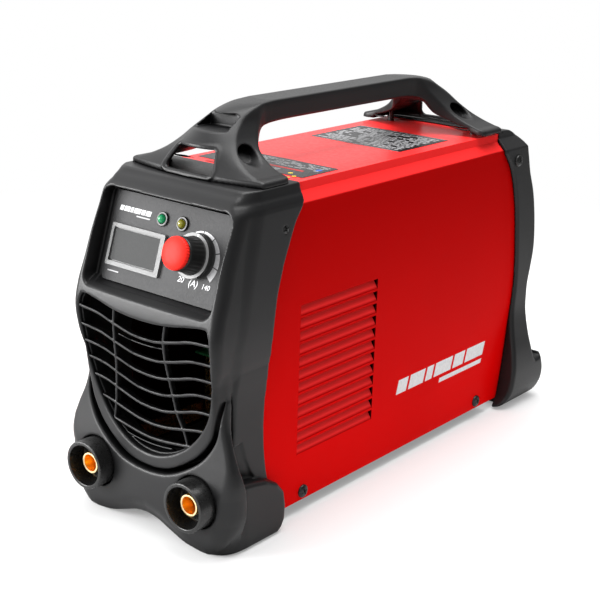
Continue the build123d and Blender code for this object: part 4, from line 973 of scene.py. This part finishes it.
# -------------------------------------------------------------- rear bezel
# Side view, (y, z): front edge downwards, foot, and rear edge upwards
rear_front_edge = [
    (349.8, 222), (360.6, 208.3), (371.5, 179.5), (376.5, 152.7), (380.6, 110.5), (376, 68.7),
    (372.2, 39.8), (367, 11),
]
rear_foot = [(410, 0), (416, 3.6), (419.2, 10.5), (421, 26), (419.4, 33.5), (417.2, 40.6)]
rear_rear_edge = [
    (406.2, 38.6), (403.6, 52), (402.3, 70), (402.3, 88), (403, 104), (406.4, 119),
    (408.8, 133.9), (407, 156), (400.4, 183.8), (391.5, 204), (387, 217), (381.5, 229.6),
    (369.6, 237.6), (359, 239.6),
]
REAR_SIDE = np.vstack([
    curve(rear_front_edge), [(362, 3), (362, -4), (409, -4)], curve(rear_foot, 6),
    [(415.2, 37.4), (408, 36.6)], curve(rear_rear_edge), [(349.4, 239.8), (349.4, 228)],
])
# End view of the x >= 0 half, (x, z)
rear_flank_edge = [
    (64, 118), (64.2, 100), (65, 82), (68.5, 64), (73, 46), (75.5, 30), (74.5, 14), (69, 4),
    (60, 0),
]
rear_arch = [(50, 0), (34, 3), (18, 8.4), (0, 12.6)]
REAR_END = np.vstack([
    [(-40, 239.5), (54.6, 239.5), (55.2, 233.6), (64, 224.8)], curve(rear_flank_edge),
    curve(rear_arch), [(-40, 12.6)],
])
REAR_ROUND = linear([(0, 2), (12, 3.4), (60, 3.4), (200, 3.4), (236, 1.6)])  # (z, radius)
COVER_REAR = smooth([  # (z, y)
    (0, 374), (11, 374), (39.8, 379), (68.7, 383), (110.5, 387.5), (152.7, 383.5),
    (179.5, 378.5), (208.3, 367.5), (232, 357), (245, 352),
])


def rear_bezel_field(x, y, z):
    body = meet(polygon(y, z, REAR_SIDE), polygon(x, z, REAR_END), REAR_ROUND(z))
    body = np.maximum(body, -z)
    # seat over the cover's end
    half = np.where(z > 224.1, np.maximum(COVER_HALF - (z - 224.1), 54.0), COVER_HALF)
    seat = np.maximum(np.maximum(x - half, z - ROOF_Z), y - COVER_REAR(z) - 0.6)
    body = hole(body, seat)
    # opening for the rear panel, and the gap between the feet
    opening = round_rect(x, z - 120.0, half_x=58.0, half_z=103.0, r=9.0)
    body = cut(body, np.maximum(opening, 340.0 - y), 1.0)
    body = hole(body, np.maximum(np.maximum(x - 58.0, z - 122.0), 408.0 - y))
    screw = np.hypot(y - REAR_SCREW[0], z - REAR_SCREW[1])
    return hole(body, np.maximum(screw - SCREW_HOLE, 50 - x))


rear = moulding("rear_bezel_shell", rear_bezel_field, (0, 344, -2), (78.5, 433, 242), BEZEL_STEP)
finish_piece(rear, "bezel_plastic", replaces="rear_bezel")


# -------------------------------------------------------- printed graphics
def panel_point(u, v, w):
    """Point u across, v up and w out of the front panel, in the object's frame."""
    return np.array([
        u,
        PANEL_Y + v * UP_Y - w * UP_Z + RIM_Y,
        PANEL_Z + v * UP_Z + w * UP_Y,
    ])


def on_panel(a, b, c):
    return panel_point(a, b, 0.02 + c)


def on_top(a, b, c):
    return (a, b + RIM_Y, 237.27 + c)


def prism(name, outlines, place, thick):
    """Flat outlines, thickened; place(a, b, c) gives points in the object's frame."""
    verts, faces = [], []
    for points in outlines:
        n, k = len(points), len(verts)
        verts += [place(a, b, 0.0) for a, b in points] + [place(a, b, thick) for a, b in points]
        faces.append([k + i for i in range(n)][::-1])
        faces.append([k + n + i for i in range(n)])
        for i in range(n):
            j = (i + 1) % n
            faces.append([k + i, k + j, k + n + j, k + n + i])
    return face_object(name, verts, faces)


def printed(name, outlines, place, color, thick):
    finish_piece(prism(name, outlines, place, thick), f"print_{color}")


def bar(x0, y0, x1, y1, lean=0.0):
    """Rectangle whose top edge is shifted by the lean."""
    return [(x0, y0), (x1, y0), (x1 + lean, y1), (x0 + lean, y1)]


def dial_sector(start, end, n=14):
    """Ring sector round the knob, in degrees clockwise from the top; it widens as it goes."""
    def outer_radius(angle):
        return 15.6 + 4.4 * max(0.0, (angle + 25.0) / 160.0) + 0.3

    inner_radius = 15.3
    start_radius, end_radius = outer_radius(start), outer_radius(end)
    outer, inner = [], []
    for i in range(n + 1):
        t = i / n
        a = math.radians(start + (end - start) * t)
        radius = start_radius + (end_radius - start_radius) * t
        outer.append((KNOB_U + radius * math.sin(a), KNOB_V + radius * math.cos(a)))
        inner.append((KNOB_U + inner_radius * math.sin(a), KNOB_V + inner_radius * math.cos(a)))
    return outer + inner[::-1]


def text_piece(name, body, u, v, size):
    """Slanted white text centred at a place on the panel."""
    font = bpy.data.curves.new(name + "_c", "FONT")
    font.body = body
    font.size = size
    font.shear = 0.22
    font.align_x, font.align_y = "CENTER", "CENTER"
    font.extrude = 0.06
    font.offset = 0.02
    flat = bpy.data.objects.new(name + "_t", font)
    scene.collection.objects.link(flat)
    depsgraph = bpy.context.evaluated_depsgraph_get()
    mesh = bpy.data.meshes.new_from_object(flat.evaluated_get(depsgraph))
    bpy.data.objects.remove(flat)
    points = np.zeros(len(mesh.vertices) * 3)
    mesh.vertices.foreach_get("co", points)
    points = [panel_point(u + a, v + b, 0.09 + c) for a, b, c in points.reshape(-1, 3)]
    mesh.vertices.foreach_set("co", (np.array(points) * MM).ravel())
    mesh.name = name
    finish_piece(link_mesh(name, mesh), "print_white")


def bar_row(start, widths, gap, y0, y1, lean):
    """Slanted bars side by side."""
    row = []
    for width in widths:
        row.append(bar(start, y0, start + width, y1, lean))
        start += width + gap
    return row


def label_rows(x0, x1, y0, y1, rows, seed):
    """Rows of random bars that stand for lines of print; about a fifth are left out."""
    rng = np.random.default_rng(seed)
    out = []
    step = (y1 - y0) / rows
    for i in range(rows):
        y = y0 + step * (i + 0.5)
        x = x0
        while x < x1 - 1.5:
            width = min(float(rng.uniform(1.5, 7.0)), x1 - x)
            if rng.uniform() < 0.8:
                out.append(bar(x, y - step * 0.22, x + width, y + step * 0.22))
            x += width + 0.9
    return out


def disc(x, y, r, n=24):
    angles = [2 * math.pi * i / n for i in range(n)]
    return [(x + r * math.cos(a), y + r * math.sin(a)) for a in angles]


low_scale = [dial_sector(-22, 3), dial_sector(6, 38)]
high_scale = [dial_sector(40.5, 72), dial_sector(74.5, 104), dial_sector(106.5, 133)]
printed("dial_wedge", low_scale, on_panel, "white", 0.12)
printed("dial_wedge_high", high_scale, on_panel, "grey", 0.12)
text_piece("dial_number_low", "20", u=17.3, v=10.4, size=5.4)
text_piece("dial_unit", "(A)", u=28.4, v=9.9, size=6.2)
text_piece("dial_number_high", "140", u=39.4, v=9.6, size=4.8)

# Row of slanted bars high on the panel, and two thin lines
panel_bars = bar_row(-49.5, (3.2, 5.2, 2.2, 6.0, 3.4, 4.4), gap=0.9, y0=44.4, y1=47.8, lean=0.8)
panel_lines = [bar(-33, 42.2, -20.5, 43.1, lean=0.3), bar(-49, 2.9, -38.6, 3.7, lean=0.2)]
printed("panel_bars", panel_bars, on_panel, "white", 0.1)
printed("panel_line", panel_lines, on_panel, "grey", 0.1)

# The same kind of row with one line under it on both sides of the cover, in (y, z)
right_bars = bar_row(217.0, (13, 20, 9, 24, 15, 27), gap=3.0, y0=55.0, y1=66.0, lean=3.2)
right_bars.append(bar(276.0, 48.2, 338.0, 51.8, lean=1.2))
left_bars = [[(560.0 - y, z) for y, z in outline] for outline in right_bars]
for side, name, bars in ((1, "right", right_bars), (-1, "left", left_bars)):
    printed(f"side_bars_{name}", bars,
            lambda a, b, c: (side * (60.82 + c), a + RIM_Y, b), "white", 0.1)

# Two labels on top of the cover
rear_label = label_rows(-38, 38, 235, 292, rows=13, seed=3)
rear_label += [bar(-40.5, 232, 40.5, 232.5), bar(-40.5, 294.6, 40.5, 295.1)]
front_label = label_rows(-34, 44, 133, 149, rows=6, seed=5)
front_label += label_rows(-34, 20, 114, 124, rows=4, seed=9)
red_bars = [bar(-34, 126.5, 36, 129.5), bar(-34, 105.5, 30, 110.5)]
diamonds = [disc(33, 118, 2.2, n=4), disc(41, 112, 2.0, n=4), disc(40, 106.5, 1.8, n=4)]
dots = [disc(41.5, 138, 2.4), disc(-38.5, 138, 2.4)]
for name, outlines, color, thick in (
    ("label_lines_rear", rear_label, "grey", 0.05),
    ("label_lines_front", front_label, "grey", 0.05),
    ("label_red_bars", red_bars, "red", 0.05),
    ("label_symbols", diamonds, "yellow", 0.05),
    ("label_dots", dots, "blue", 0.06),
):
    printed(name, outlines, on_top, color, thick)


# -------------------------------------------------- turned and small parts
def lathe(name, profile, place, n=96, wobble=None):
    """Body of revolution from a closed (radius, height) profile.

    place(angle, radius, height) gives a point; wobble(angle, profile index) adds to the radius.
    """
    k = len(profile)
    verts, faces = [], []
    for i in range(n):
        a = 2 * math.pi * i / n
        for j, (r, w) in enumerate(profile):
            verts.append(place(a, r + (wobble(a, j) if wobble else 0.0), w))
    for i in range(n):
        i2 = (i + 1) % n
        for j in range(k):
            j2 = (j + 1) % k
            faces.append([i * k + j, i2 * k + j, i2 * k + j2, i * k + j2])
    ob = quad_object(name, verts, faces)
    turn_outward(ob.data, weld=True)
    shade_smooth(ob.data)
    ob.data.set_sharp_from_angle(angle=math.radians(32))
    return ob


def join(name, parts, sharp_angle=32):
    bm = bmesh.new()
    for part in parts:
        bm.from_mesh(part.data)
    mesh = bpy.data.meshes.new(name)
    bm.to_mesh(mesh)
    bm.free()
    for part in parts:
        bpy.data.objects.remove(part)
    ob = link_mesh(name, mesh)
    mesh.set_sharp_from_angle(angle=math.radians(sharp_angle))
    return ob


def arc(x, w, r, start, end, n=5):
    """Points of an arc for a profile, angles in degrees."""
    angles = [math.radians(start + (end - start) * i / n) for i in range(n + 1)]
    return [(x + r * math.cos(a), w + r * math.sin(a)) for a in angles]


def around_panel(u, v):
    """Placing on an axis that stands out of the panel."""
    return lambda a, r, w: panel_point(u + r * math.sin(a), v + r * math.cos(a), w)


def around_socket(side, a, r, w):
    x = side * SOCKET_X + r * math.sin(a)
    return np.array([x, RIM_Y + w, SOCKET_Z + r * math.cos(a)])


# Knob: skirt and waisted grip, then the cap; profiles are (radius, height off the panel)
GRIP_PROFILE = (
    [(3.05, 3.5), (14.2, 3.5)] + arc(14.2, 4.3, 0.8, -90, 0) + [(15, 5.4)]
    + arc(14.6, 5.6, 0.4, 0, 90, n=3)
    + [(12.9, 6), (12.2, 6.5), (11.9, 8), (11.5, 12.5), (11.2, 17.2), (11.1, 18.2),
       (10.7, 18.9), (3.05, 18.9)]
)
CAP_PROFILE = [
    (0, 19.05), (10.2, 19.05), (10.6, 19.4), (10.75, 20), (10.75, 21.3), (10.5, 22), (9.9, 22.6),
    (8.4, 23.25), (6.4, 23.75), (3.6, 24.1), (0, 24.2),
]


def flutes(a, j):
    """24 flutes, on the part of the profile round the waist."""
    return -0.32 * (0.5 + 0.5 * math.cos(24 * a)) ** 2 if 12 <= j <= 16 else 0.0


def serration(a, j):
    """36 teeth round the cap's rim."""
    tooth = abs(((a * 36 / (2 * math.pi)) % 1.0) - 0.5) * 2 - 0.5
    return 0.34 * tooth if 2 <= j <= 5 else 0.0


on_knob = around_panel(KNOB_U, KNOB_V)
grip = lathe("knob_grip", GRIP_PROFILE, on_knob, n=192, wobble=flutes)
finish_piece(grip, "knob_plastic", "knob", replaces="knob_body")
cap = lathe("knob_top", CAP_PROFILE, on_knob, n=216, wobble=serration)
finish_piece(cap, "cap_red", "knob", replaces="knob_cap")
skirt_ring = [(12.75, 6.03), (14.75, 6.03), (14.75, 6.12), (12.75, 6.12)]
skirt = lathe("knob_skirt_face", skirt_ring, on_knob)
finish_piece(skirt, "knob_grey", "knob")

POINTER_ANGLE = math.radians(10.0)
sin_p, cos_p = math.sin(POINTER_ANGLE), math.cos(POINTER_ANGLE)
pointer_outline = [
    (KNOB_U + sin_p * r + cos_p * t, KNOB_V + cos_p * r - sin_p * t)
    for r, t in ((12.9, -0.6), (12.9, 0.6), (14.7, 0.6), (14.7, -0.6))
]
pointer = prism("knob_pointer", [pointer_outline],
                lambda a, b, c: panel_point(a, b, 6.13 + c), thick=0.08)
finish_piece(pointer, "print_white", "knob")

# Lamp rings and domes, (radius, height off the panel)
RING_PROFILE = [
    (3.08, -7), (3.85, -7), (3.85, 0.05), (4.6, 0.05), (4.9, 0.3), (4.9, 1.1), (4.5, 1.5),
    (3.6, 1.55), (3.08, 1.2),
]
DOME_PROFILE = [(0, -7), (3, -7), (3, 1.4)] + arc(0.0, 1.4, 3.0, 0, 90, n=10)[1:]
rings = []
for i, (u, name, look) in enumerate(((-8.5, "power_led", "lamp_green"),
                                     (9.5, "fault_led", "lamp_yellow"))):
    on_lamp = around_panel(u, LAMP_V)
    rings.append(lathe(f"ring_{i}", RING_PROFILE, on_lamp, n=64))
    dome = lathe(f"{name}_dome", DOME_PROFILE, on_lamp, n=64)
    finish_piece(dome, look, replaces=name)
finish_piece(join("lamp_bezels", rings), "sleeve_plastic",
             replaces="led_holders")

# Output sockets, (radius, depth behind the rims): sleeves with a floor, and brass inserts
SLEEVE_PROFILE = [
    (7.65, 22.7), (17.2, 22.7), (17.25, 1), (16.9, 0.25), (16.3, 0), (14.9, 0), (14.5, 0.3),
    (14.4, 1), (14.2, 13.2), (13.6, 13.9), (12.9, 14), (11.6, 14), (11.4, 13.5), (10.4, 13.5),
    (10.2, 14), (9.2, 14), (9, 12.6), (7.65, 12.6),
]
INSERT_PROFILE = [
    (4.5, 34), (5.98, 34), (5.98, 22.8), (7.5, 22.8), (7.5, 6.3), (7.35, 6.05), (7.1, 6),
    (6.3, 6), (6.1, 6.2), (5.5, 9.5), (4.5, 13.5),
]


def around_keyed_socket(side, a, r, w):
    """As around_socket, with a key slot that opens the bore at the top."""
    if r < 6.25 and w < 22 and abs(math.sin(a)) * r < 1.7 and math.cos(a) > 0:
        r = 6.9
    return around_socket(side, a, r, w)


sleeves, inserts = [], []
for i, side in enumerate(SIDES):
    sleeves.append(lathe(f"sleeve_{i}", SLEEVE_PROFILE,
                         lambda a, r, w: around_socket(side, a, r, w)))
    inserts.append(lathe(f"brass_{i}", INSERT_PROFILE,
                         lambda a, r, w: around_keyed_socket(side, a, r, w)))
finish_piece(join("socket_sleeve_pair", sleeves), "sleeve_plastic",
             replaces="socket_sleeves")
finish_piece(join("socket_insert_pair", inserts), "socket_brass", replaces="socket_inserts")

# Case screws on each side, (y, z, distance of the seat from the middle)
CASE_SCREWS = [(107.0, 15.0, 60.85), (334.8, 15.0, 60.85), (*FRONT_SCREW, 63.05),
               (*REAR_SCREW, 64.0)]
HEAD_RADII = [0.35, 0.7, 1.05, 1.4, 1.75, 2.1, 2.4, 2.7, 3.1, 3.6, 4.1, 4.5, 4.75]
CROSS_TURN = 0.4  # radians
CROSS_HALF, CROSS_REACH = 0.5, 2.45


def pan_head(name, seat_x, centre_y, centre_z, side):
    """Domed screw head on a side wall, with a cross recess."""
    n = 64
    angles = [2 * math.pi * i / n for i in range(n)]
    cos, sin = math.cos(CROSS_TURN), math.sin(CROSS_TURN)
    verts, faces = [], []
    for r in HEAD_RADII:
        dome = 2.5 * math.sqrt(max(0.0, 1 - (r / 4.95) ** 2)) ** 0.8
        for a in angles:
            dy, dz = r * math.cos(a), r * math.sin(a)
            u, v = abs(dy * cos + dz * sin), abs(-dy * sin + dz * cos)
            cross = min(max(u - CROSS_HALF, v - CROSS_REACH), max(v - CROSS_HALF, u - CROSS_REACH))
            depth = min(1.3, 0.55 - cross * 2.4) if cross < 0 else 0.0
            verts.append((seat_x + side * (dome - depth), centre_y + dy, centre_z + dz))
    top = len(verts)
    verts.append((seat_x + side * 1.1, centre_y, centre_z))
    base_x = seat_x + side * 0.02
    for a in angles:
        verts.append((base_x, centre_y + 4.8 * math.cos(a), centre_z + 4.8 * math.sin(a)))
    bottom = len(verts)
    verts.append((base_x, centre_y, centre_z))

    last = (len(HEAD_RADII) - 1) * n
    for j in range(0, last, n):
        for i in range(n):
            i2 = (i + 1) % n
            faces.append((j + i, j + i2, j + n + i2, j + n + i))
    for i in range(n):
        i2 = (i + 1) % n
        faces.append((top, i2, i))
        faces.append((last + i, last + i2, top + 1 + i2, top + 1 + i))
        faces.append((bottom, top + 1 + i, top + 1 + i2))
    ob = face_object(name, verts, faces)
    shade_smooth(ob.data)
    return ob


heads = [
    pan_head(f"head_{side}_{int(y)}", side * x, y + RIM_Y, z, side)
    for side in SIDES for y, z, x in CASE_SCREWS
]
screws = join("case_screw_heads", heads)
screws.data.set_sharp_from_angle(angle=math.radians(50))
finish_piece(screws, "screw_black", replaces="case_screws")


# ------------------------------------------------------- stage, in metres
def staged_quad(name, corners, material):
    mesh = bpy.data.meshes.new(name)
    mesh.from_pydata(corners, [], [(0, 1, 2, 3)])
    mesh.materials.append(material)
    link_mesh(name, mesh)


def floor_material():
    """Pale floor that fades into an even white away from the object."""
    look = new_look("floor")
    shades = look.mix(look.remap(look.noise(3.0)), (0.88, 0.88, 0.88), (0.91, 0.91, 0.91))
    look.surface({"Base Color": shades, "Roughness": 0.9, "Specular IOR Level": 0.1})
    distance = look.node("VectorMath", {0: look.coords()}, operation="LENGTH").outputs["Value"]
    # the white is full to the camera and weaker as a light
    seen = look.node("LightPath").outputs["Is Camera Ray"]
    strength = look.remap(seen, span=(0.0, 1.0), to=(0.40, 1.0))
    white = look.node("Emission", {1: strength}).outputs[0]
    fade = look.remap(distance, span=(0.35, 0.9), to=(0.25, 1.0))
    both = look.node("MixShader", {0: fade, 1: look.bsdf.outputs[0], 2: white})
    look.feed(look.output.inputs[0], both.outputs[0])
    return materials["floor"]


def shade_card_material():
    material = bpy.data.materials.new("card_look")
    material.use_nodes = True
    inputs = material.node_tree.nodes["Principled BSDF"].inputs
    inputs["Base Color"].default_value = (0.004, 0.001, 0.001, 1)
    inputs["Roughness"].default_value = 0.95
    inputs["Specular IOR Level"].default_value = 0.0
    return material


FLOOR_HALF, FLOOR_Z = 12.0, -0.0005
floor_corners = [
    (x * FLOOR_HALF, y * FLOOR_HALF, FLOOR_Z) for x, y in ((-1, -1), (1, -1), (1, 1), (-1, 1))
]
staged_quad("floor", floor_corners, floor_material())

# Black cards stand behind the louvres as painted shade, so the gaps read dark and the backdrop
# doesn't show through them
CARD_X = 0.0566
card_outline = bar(-0.152, 0.036, -0.014, 0.164)
shade_card = shade_card_material()
for side in SIDES:
    corners = [(side * CARD_X, y, z) for y, z in card_outline]
    staged_quad(f"card_{side}", corners if side < 0 else corners[::-1], shade_card)


def studio_world():
    """White surround, brightest from the front left above; plain white to the camera."""
    world = bpy.data.worlds.new("studio")
    scene.world = world
    world.use_nodes = True
    sky = Look(world.node_tree)
    inputs = {0: sky.coords("Generated"), 1: (-0.76, -0.50, 0.41)}
    toward = sky.node("VectorMath", inputs, operation="DOT_PRODUCT").outputs["Value"]
    glow = sky.remap(toward, span=(-0.6, 1.0), to=(0.20, 1.6))
    seen = sky.node("LightPath").outputs["Is Camera Ray"]
    strength = sky.node("Mix", {0: seen, 2: glow, 3: 1.0}).outputs[0]
    background = world.node_tree.nodes["Background"]
    sky.feed(background.inputs[1], strength)
    sky.feed(background.inputs[0], (1.0, 1.0, 1.0))


def area_light(name, location, target, size, power):
    light = bpy.data.lights.new(name, "AREA")
    light.energy = power
    light.size = size
    ob = bpy.data.objects.new(name, light)
    ob.location = location
    scene.collection.objects.link(ob)
    direction = Vector(target) - ob.location
    ob.rotation_euler = direction.to_track_quat("-Z", "Y").to_euler()


def view_camera():
    data = bpy.data.cameras.new("view_camera")
    data.lens = 77.93
    data.sensor_width = 36.0
    data.clip_start = 0.01
    camera = bpy.data.objects.new("view_camera", data)
    right = (0.77221, 0.63468, 0.02938)
    up = (-0.21778, 0.22096, 0.95065)
    back = (0.59687, -0.74051, 0.30885)
    turn = Matrix((right, up, back)).transposed().to_4x4()
    camera.matrix_world = Matrix.Translation((0.57693, -0.76749, 0.42565)) @ turn
    scene.collection.objects.link(camera)
    scene.camera = camera


studio_world()
area_light("top_soft", (0.05, 0.15, 1.3), target=(0, 0.02, 0.15), size=1.0, power=17.0)
area_light("front_left", (-0.95, -1.25, 0.42), target=(0, -0.15, 0.14), size=0.85, power=36.0)
view_camera()
scene.view_settings.view_transform = "Standard"
